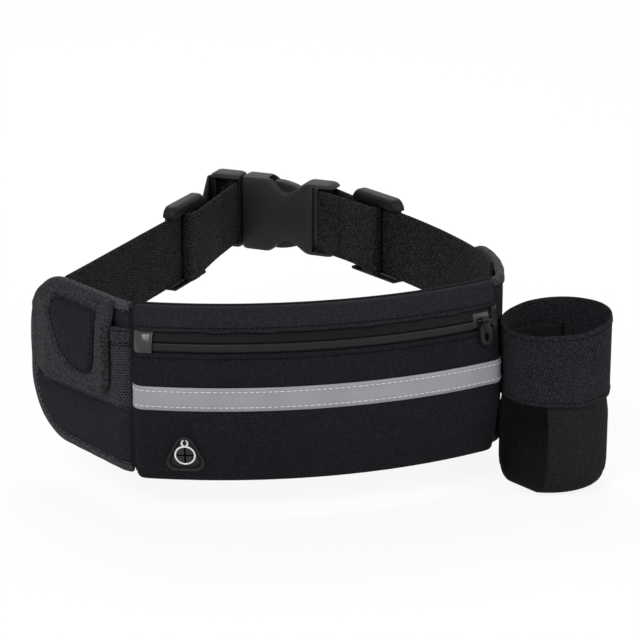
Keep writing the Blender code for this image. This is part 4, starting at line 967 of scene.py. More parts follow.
stripe_rows = []
for angle in pouch_stations(120):
    lift = GAP + TAPE_LIFT + TAPE_RIPPLE * noise.noise(Vector((angle * 0.6, 9.0, 0)))
    skin = [(pouch_depth(z) + lift, z) for z in spread(STRIPE_LOW, STRIPE_HIGH, 9)]
    under = [(depth - TAPE_THICK, z) for depth, z in skin[::-1]]
    stripe_rows.append([pouch_point(angle, *spot) for spot in skin + under])
sew("stripe", stripe_rows, REFLECTOR, "reflector", "reflective_stripe")
white_lines = [pouch_curve(z, WHITE_LIFT) for z in (STRIPE_LOW + STRIPE_SEAM, STRIPE_HIGH - STRIPE_SEAM)]
stitch("stripe_stitches", white_lines, "reflector", WHITE_THREAD, pitch=0.0031, length=0.0023)
black_lines = [pouch_curve(z, BLACK_LIFT) for z in (ZIP_LOW - ZIP_SEAM, ZIP_HIGH + ZIP_SEAM)]
stitch("pouch_stitches", black_lines, "neoprene", pitch=0.0028, length=0.0021, radius=0.00024)

# %% [markdown]
# ## Earphone port
# A moulded rubber patch with a raised rim lets a cable out of the pouch. It is welded on, so it
# follows the skin. A white ring and a small loop mark the place, and inside the ring four soft lips
# leave a cross slit over a near-black disc, which is painted shade for the hollow behind the slit.
# The lips are separate small forms, because a real slit has depth.

# %% Port patch
PORT_ANGLE, PORT_HEIGHT, PORT_CORNER, PORT_LIFT = -17.0, 0.0167, 0.0049, 0.0008
PORT_CORNERS = [Vector((0.0049, -0.0043, 0)), Vector((0, 0.0056, 0)), Vector((-0.0049, -0.0043, 0))]
PORT_STEPS = [(1.0, 0.0003), (1.0, 0.0011), (0.98, 0.0018), (0.94, 0.0021), (0.89, 0.0021),
              (0.855, 0.0016), (0.84, 0.0007), (0.825, 0.0003), (0.80, 0.0003), (0.785, 0.0008),
              (0.70, 0.0010), (0.45, 0.0010), (0.2, 0.0010)]


def port_place(spot, lift):
    """A point on the front, from a spot measured off the port's middle."""
    height = PORT_HEIGHT + spot.y
    angle = PORT_ANGLE + math.degrees(spot.x / (BACK_RADIUS + BELLY_DEPTH))
    return pouch_point(angle, pouch_depth(height) + lift, height)


def port_outline(count=14):
    """A triangle with round corners: the line round three equal circles."""
    outline = []
    for i, corner in enumerate(PORT_CORNERS):
        before, after = PORT_CORNERS[i - 1], PORT_CORNERS[(i + 1) % 3]
        arrive = math.degrees(math.atan2(*(corner - before).yx)) - 90
        leave = math.degrees(math.atan2(*(after - corner).yx)) - 90
        turn = (leave - arrive) % 360
        outline += [corner + plan(a) * PORT_CORNER for a in spread(arrive, arrive + turn, count)]
    return outline


patch_rows = [[port_place(p * share, lift + PORT_LIFT) for p in port_outline()] for share, lift in PORT_STEPS]
sew("port_patch", patch_rows, RUBBER, "port_rubber", "earphone_port")
print("port outline has", len(patch_rows[0]), "points")

# %% Ring, loop and lips
RING_RADIUS, RING_WIDE, RING_HIGH, MARK_LIFT = 0.00505, 0.0009, 0.0007, 0.00165
DROP_WIDE, DROP_HIGH, DROP_PITCH = 0.0008, 0.0006, 0.0004
LIP_MIDDLE, LIP_RADIUS, LIP_CORNER, LIP_TURN = 0.0026, 0.0045, 0.0006, (6, 84)
LOOP_DROP = [(-0.0008, 0.0055), (-0.0016, 0.0066), (-0.0013, 0.0080), (0, 0.0097), (0.0013, 0.0080),
             (0.0016, 0.0066), (0.0008, 0.0055)]
SHADE_DISC_STEPS = ((0.0047, 0.0018), (0.0047, 0.0020), (0.002, 0.0020))
LIP_STEPS = ((1.0, 0.0019), (1.0, 0.0022), (0.85, 0.0025), (0.4, 0.0026))
MARK_SECTION = ((-1, 0), (-1, 0.7), (-0.6, 1), (0.6, 1), (1, 0.7), (1, 0))


def resample(line, pitch):
    """The same line with a point about every pitch, its corners kept."""
    dense = [line[0]]
    for a, b in zip(line, line[1:]):
        parts = max(1, round((b - a).length / pitch))
        dense += [a.lerp(b, i / parts) for i in range(1, parts + 1)]
    return dense


def port_mark(points, wide, high, closed):
    """A flat raised line on the patch."""
    rows = []
    for i, point in enumerate(points):
        before = points[i - 1] if closed or i else points[0]
        after = points[(i + 1) % len(points)] if closed or i + 1 < len(points) else points[-1]
        way = (after - before).normalized()
        side = Vector((-way.y, way.x, 0)) * (wide / 2)
        rows.append([port_place(point + side * s, MARK_LIFT + high * h) for s, h in MARK_SECTION])
    return rows


ring_rows = port_mark([plan(a) * RING_RADIUS for a in circle(48)], RING_WIDE, RING_HIGH, True)
sew("port_ring", ring_rows, WHITE, "port_white", "earphone_ring", endless=True)
drop_line = resample([Vector((*p, 0)) for p in LOOP_DROP], DROP_PITCH)
sew("port_loop", port_mark(drop_line, DROP_WIDE, DROP_HIGH, False), WHITE, "port_white")
# A near-black disc under the lips: painted shade for the hollow behind the slit.
shade_disc_rows = [[port_place(plan(a) * radius, lift) for a in circle(32)] for radius, lift in SHADE_DISC_STEPS]
sew("port_shade_disc", shade_disc_rows, SHADE_DISC, "port_rubber")
for number, start in enumerate(circle(4)):
    middle = plan(start + 45)
    centre = middle * LIP_MIDDLE
    edge = [plan(start + a) * LIP_RADIUS for a in spread(*LIP_TURN, 11)] + [middle * LIP_CORNER]
    lip_rows = [[port_place(centre.lerp(p, share), lift) for p in edge] for share, lift in LIP_STEPS]
    sew(f"port_lip_{number + 1}", lip_rows, LIP_RUBBER, "port_rubber")
print("port marks and lips made")

# %% [markdown]
# ## Routes in plan
# Wings and straps stand upright and bend only in plan, like a fence. So each follows a route:
# straight and round stretches, given by length and turn. A point is then found by its distance
# along, its distance out and its height. A curve object could carry them too, but the lengths along
# it would be harder to hold.

# %% Routes of the wings
class Route:
    """A line in plan made of straight and round stretches, each given as its length and its turn."""

    def __init__(self, start, heading, stretches, outside):
        self.outside, self.marks, self.length = outside, [], 0.0
        point = Vector((start[0], start[1], 0))
        for length, turn in stretches:
            self.marks.append((self.length, point, heading, length, turn))
            point, heading = self.step(point, heading, length, turn, length)
            self.length += length

    @staticmethod
    def step(point, heading, length, turn, distance):
        """The place and heading a distance into a stretch."""
        if abs(turn) < 1e-6:
            return point + plan(heading) * distance, heading
        radius = length / math.radians(turn)
        centre = point + plan(heading + 90) * radius
        now = heading + turn * distance / length
        return centre - plan(now + 90) * radius, now

    def place(self, along):
        """The place and heading at a distance along. The line goes straight on past its end."""
        start, point, heading, length, turn = [mark for mark in self.marks if mark[0] <= max(along, 0)][-1]
        end, now = self.step(point, heading, length, turn, min(along - start, length))
        return end + plan(now) * max(0, along - start - length), now

    def at(self, along, out=0.0, height=0.0):
        point, heading = self.place(along)
        return point + plan(heading + 90 * self.outside) * out + UP * height

    def outward(self, along):
        return (self.at(along, 1) - self.at(along)).normalized()


WING_BESIDE = 2 * GAP + 0.002
WING_REACH = POUCH_HALF_ANGLE + arc_degrees(WING_BESIDE)
LEFT_WING = Route(pouch_point(-WING_REACH, -BACK_THICK / 2, 0), 180 - WING_REACH,
                  [(0.0075, -36), (0.075, 0)], 1)
RIGHT_WING = Route(pouch_point(WING_REACH, -BACK_THICK / 2, 0), WING_REACH,
                   [(0.010, 47), (0.048, 29), (0.0245, 0)], -1)
print("wings run", round(LEFT_WING.length, 4), "and", round(RIGHT_WING.length, 4), "m")

# %% [markdown]
# ## Wings
# Each wing is a thin padded panel with a mesh tape folded over its free edge. The padding makes the
# panel crown between its seams. A plane with thickness would be as flat as card, so both faces are
# lofted with a rise that starts at the seam. The tape is lofted along the wing's outline and sewn
# on with a row of black thread on each face.

# %% Wing outline
WING_LENGTH, TIP_LENGTH = 0.0825, 0.030
WING_LOW_RISE, WING_HIGH_RISE, TIP_LOW_RISE, TIP_HIGH_FALL = 0.004, 0.002, 0.0328, 0.035


def wing_edges(along):
    """The heights of the wing's lower and upper edge."""
    share = along / WING_LENGTH
    tip = round_off(max(0.0, (along - WING_LENGTH + TIP_LENGTH) / TIP_LENGTH))
    low = WING_LOW_RISE * share + TIP_LOW_RISE * tip
    return low, POUCH_HEIGHT + WING_HIGH_RISE * share - TIP_HIGH_FALL * tip


def wing_outline(inset, tip_points=0):
    """The wing's edge from the pouch along the bottom, round the tip and back, moved in by an inset."""
    stations = spread(0, WING_LENGTH - TIP_LENGTH, 30)
    stations += [WING_LENGTH - TIP_LENGTH + TIP_LENGTH * share for share in eased(16)[1:]]
    edge = [Vector((along, wing_edges(along)[0])) for along in stations]
    tip = spread(edge[-1].y, wing_edges(WING_LENGTH)[1], tip_points + 2)[1:-1]
    edge += [Vector((WING_LENGTH, z)) for z in tip]
    edge += [Vector((along, wing_edges(along)[1])) for along in reversed(stations)]
    last = len(edge) - 1
    moved = []
    for i, point in enumerate(edge):
        ahead = edge[min(i + 1, last)] - edge[max(i - 1, 0)]
        inward = Vector((-ahead.y, ahead.x)).normalized()
        if i in (0, last):
            inward = Vector((0, 1 if i == 0 else -1))
        moved.append(point + inward * inset)
    return moved


print("wing outline has", len(wing_outline(0)), "points")

# %% Panels and bindings
WING_HALF, BINDING_WIDTH, BINDING_HALF, BINDING_SHOWN = 0.0015, 0.0045, 0.0020, 0.0060
PANEL_TUCK, CROWN_START, CROWN_EASE, CROWN_FADE, BACK_CROWN = 0.0015, 0.0018, 0.007, 0.006, 0.0004
LEFT_CROWN, LEFT_CROWN_TOP, RIGHT_CROWN, RIGHT_CROWN_TOP = 0.0016, 0.0357, 0.0002, 1.0
TAPE_BODY, TAPE_TIP_POINTS, TAPE_PUFF, TAPE_WAVE = 0.0016, 8, 0.0003, 0.00012
BINDING_SEAM, THREAD_LIFT = BINDING_SHOWN - 0.0014, 0.0002


def wing_panel(route, crown, crown_top):
    """A padded panel that crowns between its seams, on its outer face only below a height."""
    edge = wing_outline(BINDING_WIDTH - PANEL_TUCK)
    half = len(edge) // 2
    rows = []
    for low, high in zip(edge[:half], reversed(edge[half:])):
        outer, inner = [], []
        for share in spread(0, 1, 30):
            spot = low.lerp(high, share)
            near = min(spot.y - low.y, high.y - spot.y, WING_LENGTH - BINDING_WIDTH - spot.x)
            rise = smooth((near - CROWN_START) / CROWN_EASE)
            puff = crown * smooth((crown_top - spot.y) / CROWN_FADE) * rise
            outer.append(route.at(spot.x, WING_HALF + puff, spot.y))
            inner.append(route.at(spot.x, -WING_HALF - BACK_CROWN * rise, spot.y))
        rows.append(outer + inner[::-1])
    return rows


def binding(route):
    """A mesh tape folded over the wing's edge."""
    rows = []
    outlines = [wing_outline(inset, TAPE_TIP_POINTS) for inset in (BINDING_SHOWN, 0, TAPE_BODY)]
    for i, (inner, rim, body) in enumerate(zip(*outlines)):
        puff = BINDING_HALF + TAPE_PUFF + TAPE_WAVE * math.sin(i * 0.9)
        face = [(inner, 0.80), (inner.lerp(body, 0.5), 1), (body, 1), (body.lerp(rim, 0.65), 0.8),
                (rim, 0.25)]
        spots = face + [(spot, -share) for spot, share in face[::-1]]
        rows.append([route.at(spot.x, puff * share, spot.y) for spot, share in spots])
    return rows


def binding_seams(route):
    """The two sewing lines on a binding, one on each face."""
    line, out = wing_outline(BINDING_SEAM, TAPE_TIP_POINTS), BINDING_HALF + THREAD_LIFT
    return [[(route.at(p.x, side * out, p.y), route.outward(p.x) * side) for p in line] for side in (-1, 1)]


# The left panel swells only below the pocket's seam, because it lies flat behind the pocket.
wings = (("left", LEFT_WING), ("right", RIGHT_WING))
crowns = ((LEFT_CROWN, LEFT_CROWN_TOP), (RIGHT_CROWN, RIGHT_CROWN_TOP))
for (name, route), crown in zip(wings, crowns):
    panel_rows = wing_panel(route, *crown)
    sew(f"{name}_panel", panel_rows, NEOPRENE_SMOOTH, "neoprene", f"{name}_wing_panel")
# The bindings take the lighter copy of the air mesh, painted light for their downward faces.
for name, route in wings:
    soften(sew(f"{name}_binding_tape", binding(route), LIT_BINDING_MESH, "air_mesh", f"{name}_wing_binding"))
for name, route in wings:
    stitch(f"{name}_binding_stitches", binding_seams(route), "air_mesh")

# %% [markdown]
# ## Key pocket
# A mesh pocket for keys is sewn to the left wing, with a folded hem at its mouth. The mesh stands
# off the wing in the middle and meets it at its seams. Panel and hem are lofted side by side from
# the same stand-off, so that the hem always sits on the panel.

# %% Pocket panel and hem
POCKET_START, POCKET_END, POCKET_LOW, POCKET_HIGH = -0.0004, 0.0700, 0.0352, 0.069
POCKET_FLOOR, POCKET_DEPTH, POCKET_WALL, POCKET_EASE = 0.0018, 0.0025, 0.0012, 0.009
SEWN_THICK, SEWN_RUN, POCKET_RIPPLE = 0.0009, 0.006, 0.0001
HEM_EXTRA, HEM_HEIGHT, BACK_LIFT = 0.0004, 0.010, 0.0001
POCKET_SEAM, HEM_SEAMS, SEAM_INSET, SEWN_LIFT = 0.0012, (0.0018, 0.0082), 0.001, 0.0010
HEM_LOW = POCKET_HIGH + GAP


def pocket_stand(along):
    """How far the pocket's inner face stands off the wing."""
    near = min(along - POCKET_START, POCKET_END - along)
    return POCKET_FLOOR + POCKET_DEPTH * smooth(near / POCKET_EASE)


pocket_rows, hem_rows = [], []
for along in spread(POCKET_START, POCKET_END, 48):
    inner = pocket_stand(along)
    face, back = [], []
    for height in spread(POCKET_LOW, POCKET_HIGH, 18):
        share = smooth((height - POCKET_LOW) / SEWN_RUN)
        ripple = POCKET_RIPPLE * noise.noise(Vector((along * 90, height * 90, 4)))
        sewn_face = POCKET_FLOOR + SEWN_THICK
        face.append((sewn_face + (inner + POCKET_WALL - sewn_face) * share + ripple, height))
        back.append((POCKET_FLOOR + BACK_LIFT + (inner - POCKET_FLOOR) * share, height))
    pocket_rows.append([LEFT_WING.at(along, *spot) for spot in face + back[::-1]])
    outer, hem_high = inner + POCKET_WALL + HEM_EXTRA, HEM_LOW + HEM_HEIGHT
    section = [(outer - 0.0005, HEM_LOW), (outer, HEM_LOW + 0.0006), (outer + 0.0001, HEM_LOW + 0.005),
               (outer, hem_high - 0.0010), (outer - 0.0005, hem_high - 0.0002), (inner + 0.0005, hem_high),
               (inner, hem_high - 0.0008), (inner, HEM_LOW)]
    hem_rows.append([LEFT_WING.at(along, *spot) for spot in section])
sew("pocket_panel", pocket_rows, POCKET_MESH, "air_mesh", "key_pocket_panel")
soften(sew("pocket_hem", hem_rows, MESH, "air_mesh", "key_pocket_hem"))
pocket_lines = []
for height in (POCKET_LOW + POCKET_SEAM, *(HEM_LOW + seam for seam in HEM_SEAMS)):
    line = []
    for along in spread(POCKET_START + SEAM_INSET, POCKET_END - SEAM_INSET, 60):
        on_hem = pocket_stand(along) + POCKET_WALL + HEM_EXTRA
        out = on_hem if height > HEM_LOW else POCKET_FLOOR + SEWN_LIFT
        line.append((LEFT_WING.at(along, out, height), LEFT_WING.outward(along)))
    pocket_lines.append(line)
stitch("pocket_stitches", pocket_lines, "air_mesh", radius=0.00024)

# %% [markdown]
# ## Flap
# A flap hangs over the pocket from the wing's top edge. It is a broad mesh border round a smooth
# tongue-shaped panel, with a thick roll on its free edge towards the pouch. One height field makes
# it: a ridge round the tongue, a recess under it, and the roll.

# %% Flap
FLAP_START, FLAP_END, FLAP_LOW, FLAP_CORNER, FLAP_TIP_ROUND = 0.0080, 0.0785, 0.0395, 0.012, 0.008
FLAP_HINGE, FLAP_TOP, FLAP_SHOULDER = 0.0868, 0.0873, 0.0790
FLAP_IN, FLAP_HINGE_IN, FLAP_TIP_IN, FLAP_THICK = 0.0072, 0.0029, 0.0024, 0.0014
FLAP_TIP_START, FLAP_TIP_RUN, TOP_INSET, TIP_DROP, TIP_DROP_RUN = 0.058, 0.020, 0.0002, 0.0013, 0.010
FOLD_IN, FOLD_RUN, FOLD_MIDDLE, FOLD_START, FOLD_END = 0.0004, 0.003, (0.045, 0.004), 0.0900, 0.0858
EDGE_ROLL, FREE_ROLL, FREE_WIDTH, FREE_TOP, FREE_FADE = 0.0024, 0.0026, 0.009, 0.089, 0.010
RECESS, RECESS_OUT, RECESS_EDGE = 0.0012, 0.0006, 0.0008
RIDGE, RIDGE_OUT, RIDGE_WIDTH = 0.0007, 0.0024, 0.0016
TONGUE = [(0.0575, 0.0815), (0.0555, 0.0710), (0.0490, 0.0570), (0.0410, 0.0513), (0.0340, 0.0490),
          (0.0280, 0.0487), (0.0225, 0.0510), (0.0200, 0.0560), (0.0185, 0.0680), (0.0180, 0.0790),
          (0.0200, 0.0835), (0.0250, 0.0850), (0.0520, 0.0855), (0.0565, 0.0845)]


def flap_edges(along):
    """The flap's lower edge has round corners, and its top follows the wing's edge."""
    low = FLAP_LOW + FLAP_CORNER * round_off(max(0.0, 1 - (along - FLAP_START) / FLAP_CORNER))
    low += FLAP_TIP_ROUND * round_off(max(0.0, 1 - (FLAP_END - along) / FLAP_TIP_ROUND))
    drop = TIP_DROP * smooth((along - WING_LENGTH + TIP_LENGTH) / TIP_DROP_RUN)
    return low, wing_edges(along)[1] - TOP_INSET - drop


def flap_inner(along, height):
    """The flap lies close to the wing above its hinge line and at its tip, and clears the pocket between."""
    body = FLAP_IN - (FLAP_IN - FLAP_TIP_IN) * smooth((along - FLAP_TIP_START) / FLAP_TIP_RUN)
    share = min(max((FLAP_TOP - height) / (FLAP_TOP - FLAP_SHOULDER), 0), 1)
    fold = FLAP_HINGE_IN - FOLD_IN * smooth((height - FLAP_HINGE) / FOLD_RUN)
    return fold + (body - FLAP_HINGE_IN) * smooth(0.5 * share) * 2


def loop_through(points, steps=3):
    """A smooth closed line through a few points."""
    line = []
    for i in range(len(points)):
        a, b, c, d = (Vector((*points[(i + k - 1) % len(points)], 0)) for k in range(4))
        for t in spread(0, 1, steps + 1)[:-1]:
            bend = (2 * a - 5 * b + 4 * c - d) * t ** 2 + (3 * b - a - 3 * c + d) * t ** 3
            line.append((2 * b + (c - a) * t + bend) / 2)
    return line


TONGUE_LINE = loop_through(TONGUE)


def inside_tongue(along, height):
    """Distance inside the smooth panel's outline, negative outside it."""
    inside, nearest = False, 1.0
    spot = Vector((along, height, 0))
    for a, b in zip(TONGUE_LINE, TONGUE_LINE[1:] + TONGUE_LINE[:1]):
        if (a.y > height) != (b.y > height) and along < (b.x - a.x) * (height - a.y) / (b.y - a.y) + a.x:
            inside = not inside
        share = min(max((spot - a).dot(b - a) / (b - a).length_squared, 0), 1)
        nearest = min(nearest, (spot - a.lerp(b, share)).length)
    return nearest if inside else -nearest


def flap_lift(along, height):
    """The border's height over the flap's back: a ridge round the tongue's recess, and rolled free edges."""
    low, high = flap_edges(along)
    depth = inside_tongue(along, height)
    roll = smooth(min(along - FLAP_START, FLAP_END - along, height - low, high - height) / EDGE_ROLL)
    recess = RECESS * smooth((depth + RECESS_OUT) / RECESS_EDGE)
    ridge = RIDGE * math.exp(-((depth + RIDGE_OUT) / RIDGE_WIDTH) ** 2)
    free_edge = FREE_ROLL * smooth(1 - (along - FLAP_START) / FREE_WIDTH)
    free_edge *= smooth((FREE_TOP - height) / FREE_FADE)
    return FLAP_THICK * (0.3 + 0.7 * roll) + (ridge - recess + free_edge) * roll


stations = [FLAP_START + FLAP_CORNER * (1 - share) for share in reversed(eased(12))]
stations += spread(FLAP_START + FLAP_CORNER, FLAP_END - FLAP_TIP_ROUND, 52)[1:-1]
stations += [FLAP_END - FLAP_TIP_ROUND * (1 - share) for share in eased(12)]
flap_rows = []
for along in stations:
    heights = spread(*flap_edges(along), 64)
    face = [(flap_inner(along, z) + flap_lift(along, z), z) for z in heights]
    back = [(flap_inner(along, z), z) for z in heights[::-1]]
    flap_rows.append([LEFT_WING.at(along, *spot) for spot in face + back])
flap = sew("pocket_flap_cloth", flap_rows, MESH, "air_mesh", "key_pocket_flap", "flap_seam_strip", body=None,
           steep=True)
soften(flap)
fold_start, fold_end = LEFT_WING.at(*FOLD_MIDDLE, FOLD_START), LEFT_WING.at(*FOLD_MIDDLE, FOLD_END)
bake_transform(flap)
print("flap is", round(FLAP_END - FLAP_START, 4), "m long")

# %% [markdown]
# ## Tongue and hook tape
# The tongue is a second, smoother panel that lies in the flap's recess and crowns a little. It
# shrinks in rings towards its middle, so one outline makes the whole form. Under the flap a patch
# of hook tape meets a patch of loop tape on the pocket, which holds the flap down.

# %% Tongue
TONGUE_CENTRE = Vector((0.037, 0.068, 0))
TONGUE_INSET, TONGUE_SEAM, SEAM_LIFT = 0.0010, 0.0024, 0.0004
TONGUE_STEPS = ((1.0, -0.0007), (1.0, -0.0002), (0.985, 0.0001), (0.95, 0.0003), (0.85, 0.0005),
                (0.65, 0.0007), (0.4, 0.0008), (0.1, 0.0008))


def tongue_line(inset):
    return [p + (TONGUE_CENTRE - p).normalized() * inset for p in TONGUE_LINE]


def tongue_place(spot, lift):
    return LEFT_WING.at(spot.x, flap_inner(*spot.xy) + FLAP_THICK + lift, spot.y)


tongue_rows = [[tongue_place(TONGUE_CENTRE.lerp(p, share), lift) for p in tongue_line(TONGUE_INSET)]
               for share, lift in TONGUE_STEPS]
tongue = sew("flap_tongue", tongue_rows, NEOPRENE_SMOOTH, "neoprene", body="pocket_flap")
soften(tongue)
tongue_out = LEFT_WING.outward(TONGUE_CENTRE.x)
tongue_seam = [(tongue_place(p, SEAM_LIFT), tongue_out) for p in tongue_line(TONGUE_SEAM)]
stitch("flap_stitches", [tongue_seam], "neoprene", body="pocket_flap")

# %% Hook and loop tape
HOOK_ENDS, HOOK_LOW, HOOK_HIGH, HOOK_SOFT = (0.034, 0.050), 0.050, 0.062, 0.00024
for name, inner, outer, body, node in (("loop_tape", 0.0058, 0.0062, "pack", "pocket_loop_patch"),
                                       ("hook_tape", 0.0065, 0.0069, "pocket_flap", "flap_hook_patch")):
    section = [(inner, HOOK_LOW), (outer - HOOK_SOFT, HOOK_LOW), (outer, HOOK_LOW + HOOK_SOFT),
               (outer, HOOK_HIGH - HOOK_SOFT), (outer - HOOK_SOFT, HOOK_HIGH), (inner, HOOK_HIGH)]
    tape_rows = [[LEFT_WING.at(along, *spot) for spot in section] for along in spread(*HOOK_ENDS, 24)]
    sew(name, tape_rows, HOOKS, "hook_and_loop", node, body=body)
print("hook and loop tape made")

# %% [markdown]
# ## Elastic holder
# A broad elastic band makes a ring on the right wing, and a strap hangs inside it in a U as its
# floor. The holder is empty, so the band keeps its round shape, a little higher on its outer side,
# and the strap bellies slightly below it. Both are lofts: the ring is endless, and the strap is a
# bundle of lengthwise lines.

# %% Band
BAND_INNER, BAND_OUTER = 0.0278, 0.0294
BAND_LOW, BAND_WIDTH, BAND_LIFT, BAND_HIGH_SIDE = 0.0315, 0.038, 0.006, 20.0
BAND_SUNK, BAND_HEM, HEM_SHARE, BAND_WAVE = 0.0003, 0.00025, 0.10, 0.0005
BAND_SEAMS, THREAD_SUNK, HOLDER_ALONG = (0.07, 0.93), 0.0002, 0.0075
HOLDER_CENTRE = RIGHT_WING.at(HOLDER_ALONG, WING_HALF + GAP + BAND_OUTER)


def band_limits(turn):
    """The heights of the band's lower and upper edge at a turn round the ring."""
    lift = BAND_LIFT * (1 + math.cos(math.radians(turn - BAND_HIGH_SIDE))) / 2
    low = BAND_LOW + BAND_WAVE * noise.noise(plan(turn) * 2)
    return low, low + BAND_WIDTH + lift


band_rows = []
for turn in circle(120):
    low, high = band_limits(turn)
    face = []
    for share in spread(0, 1, 18):
        hem = BAND_HEM * (smooth(1 - share / HEM_SHARE) + smooth(1 - (1 - share) / HEM_SHARE))
        face.append((BAND_OUTER - BAND_SUNK + hem, low + (high - low) * share))
    back = [(BAND_INNER, height) for _, height in face[::-1]]
    band_rows.append([HOLDER_CENTRE + plan(turn) * radius + UP * height for radius, height in face + back])
soften(sew("holder_band", band_rows, HOLDER, "elastic", "bottle_band", endless=True))
band_lines = []
for share in BAND_SEAMS:
    line = []
    for turn in spread(0, 360, 200):
        low, high = band_limits(turn)
        out, height = plan(turn), low + (high - low) * share
        line.append((HOLDER_CENTRE + out * (BAND_OUTER - THREAD_SUNK) + UP * height, out))
    band_lines.append(line)
stitch("band_stitches", band_lines, "elastic")

# %% Base strap
BASE_TURN, BASE_HALF_WIDTH, BASE_THICK = -64.0, 0.024, 0.0016
BASE_TOP, BASE_FLOOR, BASE_CORNER, BASE_BELLY = 0.060, -0.0180, 0.008, 0.0016
BASE_RADIUS = BAND_INNER - GAP
BELLY_BELOW, BELLY_TOP_RUN, BELLY_ABOVE, BELLY_LOW_RUN = 0.001, 0.010, 0.002, 0.012


def base_line(inset, share):
    """One lengthwise line of the base strap: its reaches and heights, and its offset across the strap."""
    turn = share * BASE_HALF_WIDTH / BASE_RADIUS
    reach = BASE_RADIUS * math.cos(turn) - inset
    corner, floor_height = BASE_CORNER - inset, BASE_FLOOR + inset
    half = []
    for z in spread(BASE_TOP, floor_height + corner, 30):
        belly = BASE_BELLY * smooth((BAND_LOW - BELLY_BELOW - z) / BELLY_TOP_RUN)
        belly *= smooth((z - floor_height - BELLY_ABOVE) / BELLY_LOW_RUN)
        half.append((reach + belly, z))
    half += corner_arc(reach - corner, floor_height + corner, corner, 0, -90, 9)[1:]
    half += [(x, floor_height) for x in spread(half[-1][0], 0, 10)[1:]]
    return half + [(-x, z) for x, z in half[-2::-1]], BASE_RADIUS * math.sin(turn)


lines = [base_line(0.0, share) for share in spread(-1, 1, 15)]
lines += [base_line(BASE_THICK, share) for share in spread(1, -1, 15)]
forward, aside = plan(BASE_TURN), plan(BASE_TURN + 90)
base_rows = []
for i in range(len(lines[0][0])):
    base_rows.append([HOLDER_CENTRE + forward * points[i][0] + aside * offset + UP * points[i][1]
                      for points, offset in lines])
sew("holder_base_strap", base_rows, PLAIN_ELASTIC, "elastic", "bottle_base_strap")
print("holder stands at", [round(x, 4) for x in HOLDER_CENTRE])

# %% [markdown]
# ## Waist strap
# The strap is flat elastic webbing with a slanting twill. The left half runs straight from its wing
# to the buckle, and the right half bends on an arc. Both tails are sewn to the inner side of the
# wings. A curve with a profile could carry it, but its weave would twist at the bends. So each
# strip is lofted on edge along its plan line, with rounded selvedges and a slow ripple, because
# elastic never lies quite flat.

# %% Straps
STRAP_LOW, STRAP_HIGH, STRAP_THICK = 0.052, 0.092, 0.0016
STRAP_INSET = -(BINDING_HALF + GAP + STRAP_THICK / 2)
STRAP_LEAVE, STRAP_TAIL, STRAP_BEND = 0.058, 0.030, 0.006
LEFT_END, RIGHT_END = Vector((-0.0259, 0.0912, 0)), Vector((0.0622, 0.0785, 0))
EDGE_SHARES = [0.45, 0.92] + [1] * 9 + [0.92, 0.45]
SELVEDGE, EDGE_INSET, WEB_PITCH, WEB_RIPPLE = 0.0006, 0.0025, 0.003, 0.00015


def rounded(points, radius, steps=8):
    """A plan line through corner points, each corner turned on an arc."""
    line = [points[0]]
    for before, corner, after in zip(points, points[1:], points[2:]):
        inward, outward = (before - corner).normalized(), (after - corner).normalized()
        half = inward.angle(outward) / 2
        centre = corner + (inward + outward).normalized() * (radius / math.sin(half))
        reach = radius / math.tan(half)
        start, end = corner + inward * reach - centre, corner + outward * reach - centre
        line += [centre + start.slerp(end, share).normalized() * radius for share in spread(0, 1, steps + 1)]
    return line + [points[-1]]


def webbing(name, line, low, high, node, body="pack", ripple=0.0, spread_to=None):
    """A strip of webbing on edge along a plan line. Its lower edge can spread to another height."""
    line = resample(line, WEB_PITCH)
    rows = []
    for i, point in enumerate(line):
        foot = low if spread_to is None else low + (spread_to - low) * smooth(2 * i / len(line))
        middle = spread(foot + EDGE_INSET, high - EDGE_INSET, 9)
        heights = [foot, foot + SELVEDGE, *middle, high - SELVEDGE, high]
        before = (point - line[i - 1]).normalized() if i else None
        after = (line[i + 1] - point).normalized() if i + 1 < len(line) else None
        ahead = ((before or after) + (after or before)).normalized()
        aside = Vector((-ahead.y, ahead.x, 0))
        half = STRAP_THICK / 2 / max(ahead.dot(after or before), 0.5)
        left, right = [], []
        for height, share in zip(heights, EDGE_SHARES):
            shift = ripple * noise.noise(point * 45 + UP * height * 60)
            left.append(point + aside * (shift + half * share) + UP * height)
            right.append(point + aside * (shift - half * share) + UP * height)
        rows.append(left + right[::-1])
    return sew(name, rows, WEBBING, "elastic", node, body=body)


corner = LEFT_WING.at(STRAP_LEAVE, STRAP_INSET)
run = corner - LEFT_END
LEFT_STRAP = Route(LEFT_END, math.degrees(math.atan2(run.y, run.x)), [(run.length, 0)], -1)
left_line = rounded([LEFT_END, corner, LEFT_WING.at(STRAP_TAIL, STRAP_INSET)], STRAP_BEND)
webbing("left_webbing", left_line, STRAP_LOW, STRAP_HIGH, "left_strap", ripple=WEB_RIPPLE)

leave, heading = RIGHT_WING.at(STRAP_LEAVE, STRAP_INSET), RIGHT_WING.place(STRAP_LEAVE)[1]
chord = RIGHT_END - leave
swing = (math.degrees(math.atan2(chord.y, chord.x)) - heading + 180) % 360 - 180
arc = chord.length * math.radians(swing) / math.sin(math.radians(swing))
RIGHT_STRAP = Route(RIGHT_END, heading + 2 * swing + 180, [(arc, -2 * swing)], 1)
right_line = [RIGHT_STRAP.at(along) for along in spread(0, arc, 40)]
right_line += [RIGHT_WING.at(along, STRAP_INSET) for along in spread(STRAP_LEAVE, STRAP_TAIL, 12)[1:]]
webbing("right_webbing", right_line, STRAP_LOW, STRAP_HIGH, "right_strap", ripple=WEB_RIPPLE)
print("straps run free for", round(run.length, 4), "and", round(arc, 4), "m")
